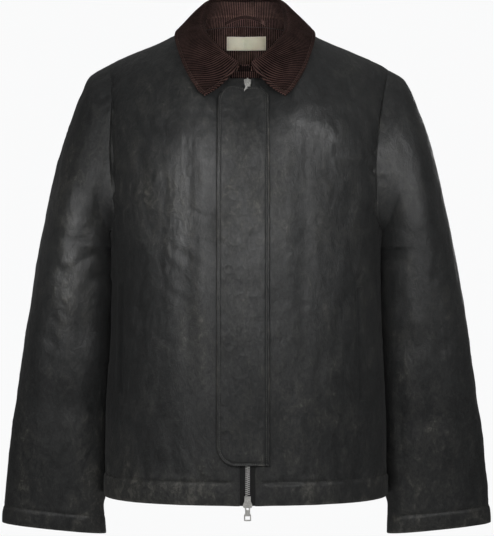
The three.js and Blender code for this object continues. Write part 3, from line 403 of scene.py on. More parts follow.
def shell(name, P, thick, hint, material, closed=False, rim=0.45, values=None):
    """A closed sheet: P is its outer face, and it is thick inwards, with rounded rims."""
    J, I = P.shape[:2]
    N = grid_normals(P, closed, hint)
    T = np.broadcast_to(np.asarray(thick, float), (J, I))
    Q = P - N * T[..., None]
    idx = np.arange(J * I).reshape(J, I)
    A, B = idx, idx + J * I
    verts = [P.reshape(-1, 3), Q.reshape(-1, 3)]
    count = 2 * J * I
    quads = []

    def strip(a0, a1, b0, b1):
        quads.append(np.stack([a0.ravel(), a1.ravel(), b1.ravel(), b0.ravel()], -1))
    R = np.roll(idx, -1, 1) if closed else None
    if closed:
        strip(A[:-1], R[:-1], A[1:], R[1:])
        strip(B[1:], (R + J * I)[1:], B[:-1], (R + J * I)[:-1])
    else:
        strip(A[:-1, :-1], A[:-1, 1:], A[1:, :-1], A[1:, 1:])
        strip(B[1:, :-1], B[1:, 1:], B[:-1, :-1], B[:-1, 1:])
    sources = [np.arange(J * I), np.arange(J * I)]

    def edge(row_out, row_in, ids, next_ids, loop):
        nonlocal count
        away = row_out - row_in
        away /= np.maximum(np.linalg.norm(away, axis=-1, keepdims=True), 1e-9)
        t = T.reshape(-1)[ids][:, None]
        verts.append((P.reshape(-1, 3)[ids] + Q.reshape(-1, 3)[ids]) / 2 + away * t * rim)
        sources.append(ids)
        M = count + np.arange(len(ids))
        count += len(ids)
        a, b = ids, ids + J * I
        if loop:
            a2, b2, m2 = np.roll(a, -1), np.roll(b, -1), np.roll(M, -1)
            strip(a, a2, M, m2)
            strip(M, m2, b, b2)
        else:
            strip(a[:-1], a[1:], M[:-1], M[1:])
            strip(M[:-1], M[1:], b[:-1], b[1:])
        return M
    m0 = edge(P[0], P[1], idx[0], None, closed)
    m1 = edge(P[-1], P[-2], idx[-1][::-1] if not closed else idx[-1], None, closed)
    if closed:
        quads[-1] = quads[-1][:, ::-1]
        quads[-2] = quads[-2][:, ::-1]
        quads[-3], quads[-4] = quads[-3], quads[-4]
    else:
        m2 = edge(P[:, 0][::-1], P[:, 1][::-1], idx[:, 0][::-1], None, False)
        m3 = edge(P[:, -1], P[:, -2], idx[:, -1], None, False)
    V = np.vstack(verts)
    F = np.vstack(quads)
    tris = None
    if not closed:
        # the four corners, where two rims meet
        corner = [(m0[0], m2[-1], idx[0, 0]), (m0[-1], m3[0], idx[0, -1]), (m1[0], m3[-1], idx[-1, -1]), (m1[-1], m2[0], idx[-1, 0])]
        tris = []
        for a, b, v in corner:
            tris += [(v, a, b), (v + J * I, b, a)]
        tris = np.array(tris)
    mesh = mesh_of(name, V, F, True, tris)
    import bmesh
    bm = bmesh.new()
    bm.from_mesh(mesh)
    bmesh.ops.recalc_face_normals(bm, faces=bm.faces)
    bm.to_mesh(mesh)
    bm.free()
    mesh.polygons.foreach_set("use_smooth", [True] * len(mesh.polygons))
    src = np.concatenate(sources)
    if values:
        paint(mesh, **{k: np.broadcast_to(v, (J, I)).reshape(-1)[src] for k, v in values.items()})
    mesh.update()
    return link(mesh, name, material)


def sample(P, j, i):
    """Points of a grid at fractional row j and column i."""
    j = np.clip(np.asarray(j, float), 0, P.shape[0] - 1.001)
    i = np.clip(np.asarray(i, float), 0, P.shape[1] - 1.001)
    j0, i0 = j.astype(int), i.astype(int)
    a, b = (j - j0)[..., None], (i - i0)[..., None]
    return ((P[j0, i0] * (1 - b) + P[j0, i0 + 1] * b) * (1 - a) + (P[j0 + 1, i0] * (1 - b) + P[j0 + 1, i0 + 1] * b) * a)


def stitch_mesh(name, lines, material, pitch=3.3, length=2.5, radius=0.3, body="jacket"):
    """Thread stitches along lines of (points, normals): each is a small arched capsule half sunk in the cloth."""
    ring = np.radians(np.arange(6) * 60)
    verts, quads, caps = [], [], []
    n = 0
    profile = [(-0.5, 0.45, -0.35), (-0.3, 0.95, 0.25), (0.0, 1.0, 0.5), (0.3, 0.95, 0.25), (0.5, 0.45, -0.35)]
    for P, N in lines:
        s = arc(P)
        at = np.arange(pitch / 2, s[-1], pitch)
        C = np.stack([np.interp(at, s, P[:, k]) for k in range(3)], -1)
        U = np.stack([np.interp(at, s, N[:, k]) for k in range(3)], -1)
        a = np.stack([np.interp(np.minimum(at + length / 2, s[-1]), s, P[:, k]) for k in range(3)], -1)
        b = np.stack([np.interp(np.maximum(at - length / 2, 0), s, P[:, k]) for k in range(3)], -1)
        T = a - b
        T /= np.maximum(np.linalg.norm(T, axis=1, keepdims=True), 1e-9)
        U -= (U * T).sum(1, keepdims=True) * T
        U /= np.maximum(np.linalg.norm(U, axis=1, keepdims=True), 1e-9)
        W = np.cross(T, U)
        for c, t, u, w in zip(C, T, U, W):
            for x, r, h in profile:
                centre = c + t * x * length + u * radius * h
                verts.append(centre + radius * r * (np.cos(ring)[:, None] * u + np.sin(ring)[:, None] * w * 1.15))
            for k in range(len(profile) - 1):
                for q in range(6):
                    e = (q + 1) % 6
                    quads.append((n + k * 6 + q, n + k * 6 + e, n + k * 6 + 6 + e, n + k * 6 + 6 + q))
            caps.append([n + q for q in range(5, -1, -1)])
            caps.append([n + 24 + q for q in range(6)])
            n += 30
    mesh = bpy.data.meshes.new(name)
    mesh.from_pydata((np.vstack(verts) / 1000).tolist(), [], quads + caps)
    mesh.polygons.foreach_set("use_smooth", [True] * len(mesh.polygons))
    import bmesh
    bm = bmesh.new()
    bm.from_mesh(mesh)
    bmesh.ops.recalc_face_normals(bm, faces=bm.faces)
    bm.to_mesh(mesh)
    bm.free()
    mesh.update()
    obj = link(mesh, name, material)
    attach(obj, body)
    return obj


# ------------------------------------------------------------------ folds placed one by one
def screen(P):
    """Where points are seen from the front, in pixels of the 494 x 536 frame."""
    s = DISTANCE / (DISTANCE + P[..., 1]) / MM_PER_PX
    return 246.5 + P[..., 0] * s, 268 - (P[..., 2] - EYE_Z) * s


def near(u, v, points):
    """Signed distance from a line of points, and the fraction along it, for every (u, v)."""
    pts = np.asarray(points, float)
    seg = np.linalg.norm(np.diff(pts, axis=0), axis=1)
    cum = np.concatenate([[0], np.cumsum(seg)])
    best, sign, frac = np.full(u.shape, 1e9), np.ones(u.shape), np.zeros(u.shape)
    for k in range(len(seg)):
        (ax, ay), (bx, by) = pts[k], pts[k + 1]
        dx, dy = (bx - ax) / seg[k], (by - ay) / seg[k]
        t = np.clip((u - ax) * dx + (v - ay) * dy, 0, seg[k])
        du, dv = u - ax - dx * t, v - ay - dy * t
        d = np.hypot(du, dv)
        use = d < best
        best = np.where(use, d, best)
        sign = np.where(use, np.sign(dx * dv - dy * du), sign)
        frac = np.where(use, (cum[k] + t) / cum[-1], frac)
    return best * sign, frac


def folds(u, v, table):
    """Height of the folds at (u, v): each is (kind, points, width, height)."""
    out = np.zeros(u.shape)
    for kind, points, width, height in table:
        pts = np.asarray(points, float)
        pad = 6 * width
        inside = (u > pts[:, 0].min() - pad) & (u < pts[:, 0].max() + pad) & (v > pts[:, 1].min() - pad) & (v < pts[:, 1].max() + pad)
        if not inside.any():
            continue
        d, f = near(u[inside], v[inside], points)
        w = width * (0.75 + 0.35 * np.sin(f * math.pi))
        fade = np.sin(np.clip(f, 0.02, 0.98) * math.pi) ** 0.6
        if kind == "ridge":
            h = np.exp(-(d / w) ** 2)
        elif kind == "crease":
            h = -np.exp(-(d / w) ** 2) + 0.42 * np.exp(-((np.abs(d) - 2.2 * w) / (1.3 * w)) ** 2)
        elif kind == "lap":  # cloth on one side lies over the other
            h = np.tanh(d / (0.6 * w)) * np.exp(-(np.abs(d) / (3.2 * w)) ** 1.5)
        elif kind == "root":  # deepest at its start
            fade = (1 - f) ** 0.8
            h = -np.exp(-(d / w) ** 2) + 0.4 * np.exp(-((np.abs(d) - 2.2 * w) / (1.3 * w)) ** 2)
        out[inside] += height * fade * h
    return out


# Folds seen from the front, in pixels: the wearer's right is at the image's left
FRONT_FOLDS = [
    ("ridge", [(198, 118), (203, 190), (200, 270), (204, 350), (199, 425)], 9, 2.6),
    ("ridge", [(172, 150), (176, 230), (170, 320), (176, 400)], 10, 1.7),
    ("crease", [(187, 140), (188, 220), (185, 300), (189, 372)], 6, 1.5),
    ("crease", [(214, 160), (211, 250), (213, 330), (209, 400)], 4, 1.0),
    ("crease", [(120, 118), (140, 160), (150, 215)], 6, 1.3),
    ("ridge", [(126, 206), (148, 250), (158, 300)], 8, 1.6),
    ("crease", [(118, 214), (136, 262), (140, 320), (136, 372)], 5, 1.5),
    ("root", [(113, 283), (124, 320), (131, 372), (134, 420)], 4.5, 2.0),
    ("root", [(114, 272), (121, 279), (133, 284)], 2.2, 2.2),
    ("root", [(114, 272), (114, 262), (115, 250)], 2.2, 2.0),
    ("crease", [(160, 236), (176, 250), (193, 262), (207, 268)], 3.2, 1.0),
    ("crease", [(166, 286), (182, 300), (199, 306)], 3.0, 0.9),
    ("crease", [(150, 330), (168, 344), (190, 350)], 3.5, 0.9),
    ("crease", [(186, 205), (198, 214), (212, 217)], 2.8, 0.8),
    ("root", [(201, 477), (194, 464), (187, 452)], 3.0, 1.8),
    ("root", [(160, 478), (158, 462), (152, 446)], 3.2, 1.4),
    ("root", [(128, 474), (131, 458), (130, 440)], 3.2, 1.4),
    ("root", [(215, 482), (212, 468), (213, 455)], 2.6, 1.2),
    ("crease", [(176, 400), (170, 430), (172, 462)], 5.5, 1.5),
    ("ridge", [(152, 390), (148, 430), (150, 466)], 7, 1.6),
    # wearer's left
    ("ridge", [(286, 120), (291, 200), (288, 290), (293, 370)], 7, 2.0),
    ("crease", [(303, 150), (307, 230), (302, 310), (306, 380)], 5, 1.3),
    ("ridge", [(312, 104), (340, 104), (358, 108), (368, 119), (374, 140), (376, 165)], 4.5, 1.8),
    ("crease", [(300, 98), (332, 94), (356, 97), (373, 106)], 4.0, 1.2),
    ("crease", [(284, 120), (304, 128), (326, 137), (346, 150)], 3.6, 1.1),
    ("crease", [(374, 150), (358, 186), (344, 226)], 5.5, 1.2),
    ("ridge", [(366, 196), (352, 232), (344, 268)], 7, 1.4),
    ("ridge", [(361, 244), (359, 262), (357, 278)], 1.9, 1.6),
    ("root", [(356, 281), (354, 272), (352, 258)], 2.0, 2.0),
    ("root", [(357, 281), (361, 271), (362, 258)], 1.9, 2.0),
    ("root", [(358, 281), (364, 268), (373, 256)], 2.3, 1.9),
    ("root", [(358, 281), (365, 279), (375, 281)], 2.2, 1.7),
    ("root", [(356, 283), (345, 300), (337, 330), (334, 372)], 4.2, 1.9),
    ("root", [(356, 283), (347, 277), (335, 277)], 3.0, 1.2),
    ("crease", [(318, 236), (332, 262), (338, 300)], 5.0, 1.1),
    ("crease", [(283, 236), (296, 248), (312, 254)], 3.0, 0.9),
    ("crease", [(284, 300), (298, 306), (316, 305)], 3.0, 0.8),
    ("crease", [(322, 350), (318, 390), (324, 430)], 5.5, 1.4),
    ("ridge", [(300, 380), (303, 420), (300, 462)], 7, 1.5),
    ("root", [(311, 480), (307, 466), (302, 452)], 3.0, 1.7),
    ("root", [(338, 477), (340, 460), (337, 444)], 3.2, 1.4),
    ("root", [(362, 473), (358, 458), (360, 440)], 3.2, 1.4),
    ("root", [(284, 482), (286, 466), (283, 452)], 2.6, 1.1),
    # sleeve at the image's left
    ("root", [(108, 258), (98, 254), (84, 258), (72, 270)], 3.4, 2.8),
    ("root", [(107, 274), (97, 276), (86, 284), (78, 298)], 3.2, 2.6),
    ("root", [(108, 290), (100, 300), (94, 318), (91, 340)], 3.4, 2.2),
    ("ridge", [(92, 262), (80, 286), (72, 318), (66, 356)], 6, 1.8),
    ("crease", [(60, 286), (52, 330), (47, 384)], 6, 1.5),
    ("ridge", [(96, 318), (86, 360), (78, 410), (74, 458)], 7, 2.2),
    ("crease", [(100, 352), (94, 400), (90, 450), (86, 498)], 5, 1.9),
    ("crease", [(66, 380), (60, 424), (56, 476)], 6, 1.8),
    ("ridge", [(42, 396), (36, 440), (32, 490)], 7, 1.7),
    ("crease", [(24, 416), (19, 458), (17, 496)], 5, 1.2),
    ("crease", [(94, 130), (84, 170), (80, 214)], 6, 1.3),
    ("ridge", [(74, 150), (66, 196), (62, 244)], 7, 1.4),
    ("crease", [(100, 205), (92, 226), (78, 240)], 4.5, 1.5),
    ("crease", [(44, 262), (58, 268), (70, 282)], 4, 1.3),
    ("crease", [(34, 330), (48, 338), (62, 352)], 4.5, 1.2),
    # sleeve at the image's right
    ("root", [(383, 262), (394, 258), (407, 264), (418, 278)], 3.2, 2.6),
    ("root", [(384, 278), (393, 284), (402, 298), (407, 316)], 3.2, 2.6),
    ("root", [(385, 300), (392, 318), (395, 344)], 3.2, 2.0),
    ("ridge", [(397, 268), (408, 292), (416, 326), (421, 366)], 6, 1.9),
    ("crease", [(430, 288), (438, 334), (444, 386)], 6, 1.5),
    ("ridge", [(399, 330), (408, 374), (414, 420), (417, 466)], 7, 2.2),
    ("crease", [(395, 360), (400, 410), (403, 458), (407, 500)], 5, 1.9),
    ("crease", [(428, 384), (433, 430), (437, 478)], 6, 1.7),
    ("ridge", [(450, 398), (455, 444), (459, 494)], 7, 1.7),
    ("crease", [(470, 420), (474, 460), (475, 498)], 5, 1.2),
    ("crease", [(398, 132), (408, 170), (411, 216)], 6, 1.3),
    ("ridge", [(392, 100), (397, 150), (400, 210)], 6.5, 1.8),
    ("ridge", [(420, 150), (427, 200), (431, 250)], 7, 1.4),
    ("crease", [(390, 206), (402, 228), (418, 240)], 4.5, 1.4),
    ("crease", [(452, 266), (440, 272), (428, 286)], 4, 1.3),
    ("crease", [(462, 336), (448, 344), (434, 360)], 4.5, 1.2),
]
# Folds of the hidden sides, by (x, z) in millimetres as seen from the front through the cloth
BACK_FOLDS = [
    ("ridge", [(-20, -120), (-26, -260), (-18, -400), (-24, -560)], 20, 2.2),
    ("crease", [(34, -150), (40, -300), (30, -440)], 16, 1.8),
    ("crease", [(-80, -170), (-92, -320), (-84, -470)], 15, 1.8),
    ("ridge", [(96, -230), (90, -360), (98, -500), (92, -620)], 17, 2.4),
    ("ridge", [(-120, -340), (-116, -470), (-126, -610)], 16, 2.2),
    ("root", [(186, -298), (150, -330), (110, -352)], 8, 3.0),
    ("root", [(186, -306), (158, -366), (140, -430)], 8, 2.8),
    ("root", [(-186, -298), (-152, -322), (-118, -338)], 8, 3.0),
    ("root", [(-186, -306), (-162, -372), (-150, -446)], 8, 2.6),
    ("crease", [(-60, -66), (0, -88), (62, -64)], 11, 1.3),
    ("root", [(60, -646), (54, -606), (60, -560)], 8, 2.0),
    ("root", [(-64, -646), (-72, -600), (-66, -556)], 8, 2.0),
    ("root", [(136, -646), (130, -612), (134, -572)], 7, 1.8),
    ("root", [(-140, -646), (-134, -610), (-142, -574)], 7, 1.8),
    ("root", [(4, -646), (-4, -614), (2, -584)], 7, 1.5),
    # backs of the sleeves
    ("root", [(214, -330), (244, -322), (276, -344)], 7, 3.2),
    ("root", [(216, -356), (240, -372), (262, -404)], 7, 3.0),
    ("crease", [(296, -300), (280, -340), (262, -362)], 8, 2.4),
    ("ridge", [(236, -380), (256, -450), (268, -540)], 11, 2.6),
    ("crease", [(226, -440), (238, -540), (246, -660)], 9, 2.2),
    ("crease", [(286, -420), (300, -520), (308, -640)], 10, 2.0),
    ("ridge", [(318, -470), (326, -560), (334, -680)], 11, 2.0),
    ("root", [(-214, -330), (-246, -318), (-278, -338)], 7, 3.2),
    ("root", [(-216, -358), (-242, -380), (-262, -414)], 7, 3.0),
    ("crease", [(-298, -306), (-282, -342), (-262, -360)], 8, 2.4),
    ("ridge", [(-238, -384), (-258, -452), (-270, -548)], 11, 2.6),
    ("crease", [(-228, -446), (-238, -546), (-248, -660)], 9, 2.2),
    ("crease", [(-288, -424), (-300, -524), (-310, -640)], 10, 2.0),
    ("ridge", [(-320, -474), (-328, -566), (-334, -680)], 11, 2.0),
    ("crease", [(230, -120), (246, -190), (256, -262)], 10, 1.8),
    ("crease", [(-230, -124), (-248, -196), (-256, -266)], 10, 1.8),
]


FOLD_SCALE = 0.62


def cloth_relief(P, facing):
    """Folds and crumples of the waxed cloth. facing: 1 where the cloth faces the front, 0 where it faces back."""
    u, v = screen(P)
    h = FOLD_SCALE * folds(u, v, FRONT_FOLDS) * facing + folds(P[..., 0], P[..., 2], BACK_FOLDS) * (1 - facing)
    h = h + 0.9 * noise(P, (60, 60, 110), 1) + 0.6 * noise(P, (26, 26, 44), 2)
    fine = crinkle(P, (22, 22, 38), 3, 1.6) - 0.3
    finer = crinkle(P, (11, 11, 19), 5, 1.4) - 0.35
    patch = 0.35 + 0.65 * ramp(noise(P, (80, 80, 120), 6), -0.35, 0.5)
    relief = patch * (0.75 * fine + 0.42 * finer) + 0.2 * noise(P, (8, 8, 13), 4)
    relief = relief + np.minimum(scuffs(P), 0.9) * (0.62 * (crinkle(P, (15, 15, 27), 14, 1.7) - 0.3) + 0.3 * noise(P, (9, 9, 15), 15))
    return h + relief, relief


# ------------------------------------------------------------------ materials
def nodes_of(name):
    m = bpy.data.materials.new(name)
    m.use_nodes = True
    nt = m.node_tree
    bsdf = next(n for n in nt.nodes if n.type == "BSDF_PRINCIPLED")
    return m, nt, bsdf


def node(nt, kind, **inputs):
    n = nt.nodes.new(kind)
    for k, v in inputs.items():
        if k.startswith("_"):
            setattr(n, k[1:], v)
        else:
            key = k.replace("__", " ")
            if hasattr(v, "is_linked") or isinstance(v, bpy.types.NodeSocket):
                nt.links.new(v, n.inputs[key])
            else:
                n.inputs[key].default_value = v
    return n


def math_node(nt, op, a, b=None, clamp=False):
    n = nt.nodes.new("ShaderNodeMath")
    n.operation = op
    n.use_clamp = clamp
    for k, v in enumerate((a, b)):
        if v is None:
            continue
        if isinstance(v, bpy.types.NodeSocket):
            nt.links.new(v, n.inputs[k])
        else:
            n.inputs[k].default_value = v
    return n.outputs[0]


def spread(nt, value, lo, hi, out_lo=0.0, out_hi=1.0):
    n = nt.nodes.new("ShaderNodeMapRange")
    nt.links.new(value, n.inputs[0])
    for k, v in enumerate((lo, hi, out_lo, out_hi)):
        n.inputs[k + 1].default_value = v
    return n.outputs[0]


def colours(nt, fac, stops):
    n = nt.nodes.new("ShaderNodeValToRGB")
    nt.links.new(fac, n.inputs[0])
    el = n.color_ramp.elements
    while len(el) < len(stops):
        el.new(0.5)
    for e, (pos, c) in zip(el, stops):
        e.position = pos
        e.color = (*c, 1)
    return n.outputs[0]


def lin(r, g, b):
    return tuple(((c / 255) / 12.92 if c / 255 <= 0.04045 else (((c / 255) + 0.055) / 1.055) ** 2.4) for c in (r, g, b))


def noise_tex(nt, coord, scale, detail=4.0, rough=0.6, distort=0.0, stretch=None, kind="FBM"):
    if stretch is not None:
        mp = nt.nodes.new("ShaderNodeMapping")
        mp.inputs["Scale"].default_value = stretch
        nt.links.new(coord, mp.inputs["Vector"])
        coord = mp.outputs[0]
    n = nt.nodes.new("ShaderNodeTexNoise")
    n.noise_type = kind
    nt.links.new(coord, n.inputs["Vector"])
    n.inputs["Scale"].default_value = scale
    n.inputs["Detail"].default_value = detail
    n.inputs["Roughness"].default_value = rough
    n.inputs["Distortion"].default_value = distort
    return n.outputs[0]


def bump(nt, height, strength, distance, under=None):
    n = nt.nodes.new("ShaderNodeBump")
    nt.links.new(height, n.inputs["Height"])
    n.inputs["Strength"].default_value = strength
    n.inputs["Distance"].default_value = distance
    if under is not None:
        nt.links.new(under, n.inputs["Normal"])
    return n.outputs[0]


def attribute(nt, name):
    n = nt.nodes.new("ShaderNodeAttribute")
    n.attribute_name = name
    return n.outputs["Fac"]


def wave(nt, coord, direction, scale, distort=0.6):
    n = nt.nodes.new("ShaderNodeTexWave")
    n.wave_type = "BANDS"
    n.bands_direction = direction
    nt.links.new(coord, n.inputs["Vector"])
    n.inputs["Scale"].default_value = scale
    n.inputs["Distortion"].default_value = distort
    n.inputs["Detail"].default_value = 1.0
    return n.outputs["Fac"]


def cracks(nt, co, scale, width, distort, stretch, detail=3):
    """Thin crooked lines, where a noise passes its middle value."""
    n = noise_tex(nt, co, scale, detail, 0.6, distort, stretch)
    off = math_node(nt, "ABSOLUTE", math_node(nt, "SUBTRACT", n, 0.5), 0.0)
    return spread(nt, off, 0.0, width, 1.0, 0.0)


def waxed_material(name, lift=1.0):
    """Waxed cotton: near black, with a soft greasy sheen, cloudy where the wax lies thick and paler where it has
    cracked and worn; the per-point wear values also bring painted shade in grooves and openings and painted highlights.
    """
    m, nt, b = nodes_of(name)
    co = nt.nodes.new("ShaderNodeTexCoord").outputs["Object"]
    cloud = noise_tex(nt, co, 8.0, 5, 0.62, 0.6, (1, 1, 0.6))
    mottle = noise_tex(nt, co, 60.0, 6, 0.7, 0.9, (1, 1, 0.6))
    speck = noise_tex(nt, co, 210.0, 4, 0.7, 0.8, (1, 1, 0.7))
    grain = noise_tex(nt, co, 700.0, 3, 0.7)
    crease = noise_tex(nt, co, 34.0, 8, 0.6, 0.4, (1, 1, 0.55), "RIDGED_MULTIFRACTAL")
    patch = spread(nt, noise_tex(nt, co, 13.0, 4, 0.65, 0.8, (1, 1, 0.6)), 0.5, 0.7)
    patch = math_node(nt, "MULTIPLY", patch, math_node(nt, "ADD", attribute(nt, "scuff"), 0.3))
    web = math_node(nt, "MAXIMUM", cracks(nt, co, 52.0, 0.010, 1.3, (1, 1, 0.36)), cracks(nt, co, 120.0, 0.016, 1.5, (1, 1, 0.6)))
    web = math_node(nt, "MULTIPLY", web, patch)
    wear = attribute(nt, "wear")
    blend = math_node(nt, "ADD", math_node(nt, "MULTIPLY", cloud, 0.36), math_node(nt, "MULTIPLY", mottle, 0.4))
    blend = math_node(nt, "ADD", blend, math_node(nt, "MULTIPLY", speck, 0.24))
    # the tone adds wear and painted light: real wear at edges and seams, painted shade along stitch grooves and pocket
    # openings, a painted highlight beside the flap's sewn edge
    tone = math_node(nt, "ADD", spread(nt, blend, 0.38, 0.64), wear)
    tone = math_node(nt, "ADD", tone, math_node(nt, "MULTIPLY", web, 0.17), True)
    k = lift
    base = colours(nt, tone, [
        (0.0, tuple(c * k for c in lin(25, 26, 26))), (0.45, tuple(c * k for c in lin(37, 38, 38))),
        (0.75, tuple(c * k for c in lin(51, 51, 49))), (1.0, tuple(c * k for c in lin(80, 79, 74)))])
    nt.links.new(base, b.inputs["Base Color"])
    thick = math_node(nt, "ADD", attribute(nt, "wax"), spread(nt, speck, 0.3, 0.7, -0.15, 0.15))
    rough = math_node(nt, "ADD", spread(nt, mottle, 0.3, 0.7, -0.07, 0.1), spread(nt, thick, 0.0, 1.0, 0.6, 0.42))
    nt.links.new(rough, b.inputs["Roughness"])
    nt.links.new(spread(nt, thick, 0.0, 1.0, 0.34, 0.84), b.inputs["Specular IOR Level"])
    b.inputs["Sheen Weight"].default_value = 0.05
    b.inputs["Sheen Roughness"].default_value = 0.5
    n1 = bump(nt, crease, 0.7, 0.0013)
    n2 = bump(nt, mottle, 0.8, 0.0016, n1)
    n2 = bump(nt, speck, 0.6, 0.0006, n2)
    n2 = bump(nt, web, 0.5, 0.0004, n2)
    weave = math_node(nt, "MULTIPLY", wave(nt, co, "X", 520), wave(nt, co, "Z", 520))
    n3 = bump(nt, weave, 0.16, 0.00012, n2)
    n4 = bump(nt, grain, 0.14, 0.0002, n3)
    nt.links.new(n4, b.inputs["Normal"])
    return m


def corduroy_material(name, dark, mid, light, sheen=0.5):
    """Corduroy: the rounded piles of the wales are coloured lighter as a painted highlight, and the grooves between
    them are coloured dark as painted shade.
    """
    m, nt, b = nodes_of(name)
    co = nt.nodes.new("ShaderNodeTexCoord").outputs["Object"]
    phase, wear = attribute(nt, "phase"), attribute(nt, "wear")
    pile = noise_tex(nt, co, 900.0, 3, 0.7)
    nap = noise_tex(nt, co, 45.0, 5, 0.65, 0.5)
    wave_of = math_node(nt, "COSINE", math_node(nt, "MULTIPLY", phase, 2 * math.pi), 0.0)
    # painted light across each wale: a painted highlight on its ridge and painted shade in the grooves
    ridge = spread(nt, wave_of, -0.72, 0.95)
    tone = math_node(nt, "ADD", math_node(nt, "MULTIPLY", ridge, 0.62), math_node(nt, "MULTIPLY", spread(nt, nap, 0.3, 0.7), 0.24))
    tone = math_node(nt, "ADD", tone, math_node(nt, "MULTIPLY", spread(nt, pile, 0.35, 0.65), 0.14))
    # the per-point wear values add wear and also painted shade and painted highlights on the neck band, the collar and
    # the loop
    tone = math_node(nt, "ADD", tone, wear, True)
    base = colours(nt, tone, [(0.12, lin(*dark)), (0.52, lin(*mid)), (1.0, lin(*light))])
    nt.links.new(base, b.inputs["Base Color"])
    b.inputs["Roughness"].default_value = 0.92
    b.inputs["Specular IOR Level"].default_value = 0.12
    b.inputs["Sheen Weight"].default_value = sheen
    b.inputs["Sheen Roughness"].default_value = 0.45
    b.inputs["Sheen Tint"].default_value = (0.72, 0.5, 0.43, 1)
    n1 = bump(nt, pile, 0.4, 0.0004)
    n2 = bump(nt, nap, 0.2, 0.0006, n1)
    n3 = bump(nt, ridge, 0.5, 0.0006, n2)
    nt.links.new(n3, b.inputs["Normal"])
    return m


def tape_material(name):
    m, nt, b = nodes_of(name)
    co = nt.nodes.new("ShaderNodeTexCoord").outputs["Object"]
    weave = math_node(nt, "MULTIPLY", wave(nt, co, "DIAGONAL", 420), wave(nt, co, "X", 300))
    fluff = noise_tex(nt, co, 300.0, 4, 0.7)
    tone = math_node(nt, "ADD", math_node(nt, "MULTIPLY", weave, 0.6), math_node(nt, "MULTIPLY", fluff, 0.5), True)
    nt.links.new(colours(nt, tone, [(0.0, lin(8, 8, 8)), (1.0, lin(30, 30, 29))]), b.inputs["Base Color"])
    b.inputs["Roughness"].default_value = 0.85
    nt.links.new(bump(nt, weave, 0.5, 0.0003), b.inputs["Normal"])
    return m


def metal_material(name, colour, rough=0.27, metallic=0.85):
    m, nt, b = nodes_of(name)
    co = nt.nodes.new("ShaderNodeTexCoord").outputs["Object"]
    smear = noise_tex(nt, co, 220.0, 4, 0.6)
    scratch = noise_tex(nt, co, 900.0, 3, 0.6, 0, (1, 1, 0.12))
    nt.links.new(colours(nt, smear, [(0.3, lin(*[int(c * 0.8) for c in colour])), (0.7, lin(*colour))]), b.inputs["Base Color"])
    b.inputs["Metallic"].default_value = metallic
    nt.links.new(spread(nt, smear, 0.3, 0.7, rough - 0.07, rough + 0.12), b.inputs["Roughness"])
    nt.links.new(bump(nt, scratch, 0.15, 0.0001), b.inputs["Normal"])
    return m


def label_material(name):
    m, nt, b = nodes_of(name)
    co = nt.nodes.new("ShaderNodeTexCoord").outputs["Object"]
    weft, warp = wave(nt, co, "Z", 700, 0.2), wave(nt, co, "X", 900, 0.2)
    weave = math_node(nt, "ADD", math_node(nt, "MULTIPLY", weft, 0.6), math_node(nt, "MULTIPLY", warp, 0.4))
    soil = noise_tex(nt, co, 70.0, 5, 0.6)
    tone = math_node(nt, "ADD", math_node(nt, "MULTIPLY", weave, 0.4), math_node(nt, "MULTIPLY", soil, 0.6), True)
    nt.links.new(colours(nt, tone, [(0.2, lin(214, 211, 188)), (0.8, lin(243, 240, 220))]), b.inputs["Base Color"])
    b.inputs["Roughness"].default_value = 0.6
    b.inputs["Sheen Weight"].default_value = 0.2
    nt.links.new(bump(nt, weave, 0.4, 0.0002), b.inputs["Normal"])
    return m


def thread_material(name, dark, light):
    m, nt, b = nodes_of(name)
    co = nt.nodes.new("ShaderNodeTexCoord").outputs["Object"]
    twist = wave(nt, co, "DIAGONAL", 900, 0.4)
    fluff = noise_tex(nt, co, 260.0, 3, 0.6)
    tone = math_node(nt, "ADD", math_node(nt, "MULTIPLY", twist, 0.4), math_node(nt, "MULTIPLY", fluff, 0.6), True)
    nt.links.new(colours(nt, tone, [(0.2, lin(*dark)), (0.8, lin(*light))]), b.inputs["Base Color"])
    b.inputs["Roughness"].default_value = 0.6
    nt.links.new(bump(nt, twist, 0.4, 0.0002), b.inputs["Normal"])
    return m


WAXED = waxed_material("waxed_cotton")
CORD = corduroy_material("corduroy", (3, 1, 1), (27, 16, 14), (100, 76, 71), 0.05)
CORD_IN = corduroy_material("corduroy_inside", (5, 3, 3), (45, 30, 28), (144, 115, 108), 0.06)
TAPE = tape_material("zip_tape")
METAL = metal_material("nickel", (244, 243, 238), 0.34, 0.5)
TEETH = metal_material("nickel_teeth", (250, 249, 245), 0.42, 0.15)
LABEL_CLOTH = label_material("label_cloth")
THREAD = thread_material("thread_dark", (34, 35, 34), (66, 66, 63))
THREAD_GREY = thread_material("thread_grey", (62, 63, 61), (112, 112, 107))
THREAD_BROWN = thread_material("thread_brown", (44, 30, 27), (104, 78, 68))
THREAD_CREAM = thread_material("thread_cream", (150, 146, 130), (196, 193, 178))

FORWARD, BACKWARD = np.array([0, -1.0, 0]), np.array([0, 1.0, 0])
stitch_lines = []


def finish_piece(obj, node_names, body="jacket"):
    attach(obj, body)
    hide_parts(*node_names)
    return obj


def arc_rows(P):
    """Distance along each column from the first row, and along each row from the first column."""
    dj = np.linalg.norm(np.diff(P, axis=0), axis=2)
    di = np.linalg.norm(np.diff(P, axis=1), axis=2)
    return (np.concatenate([np.zeros((1, P.shape[1])), np.cumsum(dj, 0)]),
            np.concatenate([np.zeros((P.shape[0], 1)), np.cumsum(di, 1)], 1))


def seam_line(d, depth=1.5, width=2.6, shoulder=0.5):
    """Profile across a seam at distance d: a valley with a soft raised shoulder beside it."""
    return -depth * np.exp(-(d / width) ** 2) + shoulder * np.exp(-((d - 3.2 * width) / (1.7 * width)) ** 2)


def topstitch(d, depth=0.8, width=2.2):
    return -depth * np.exp(-(d / width) ** 2)


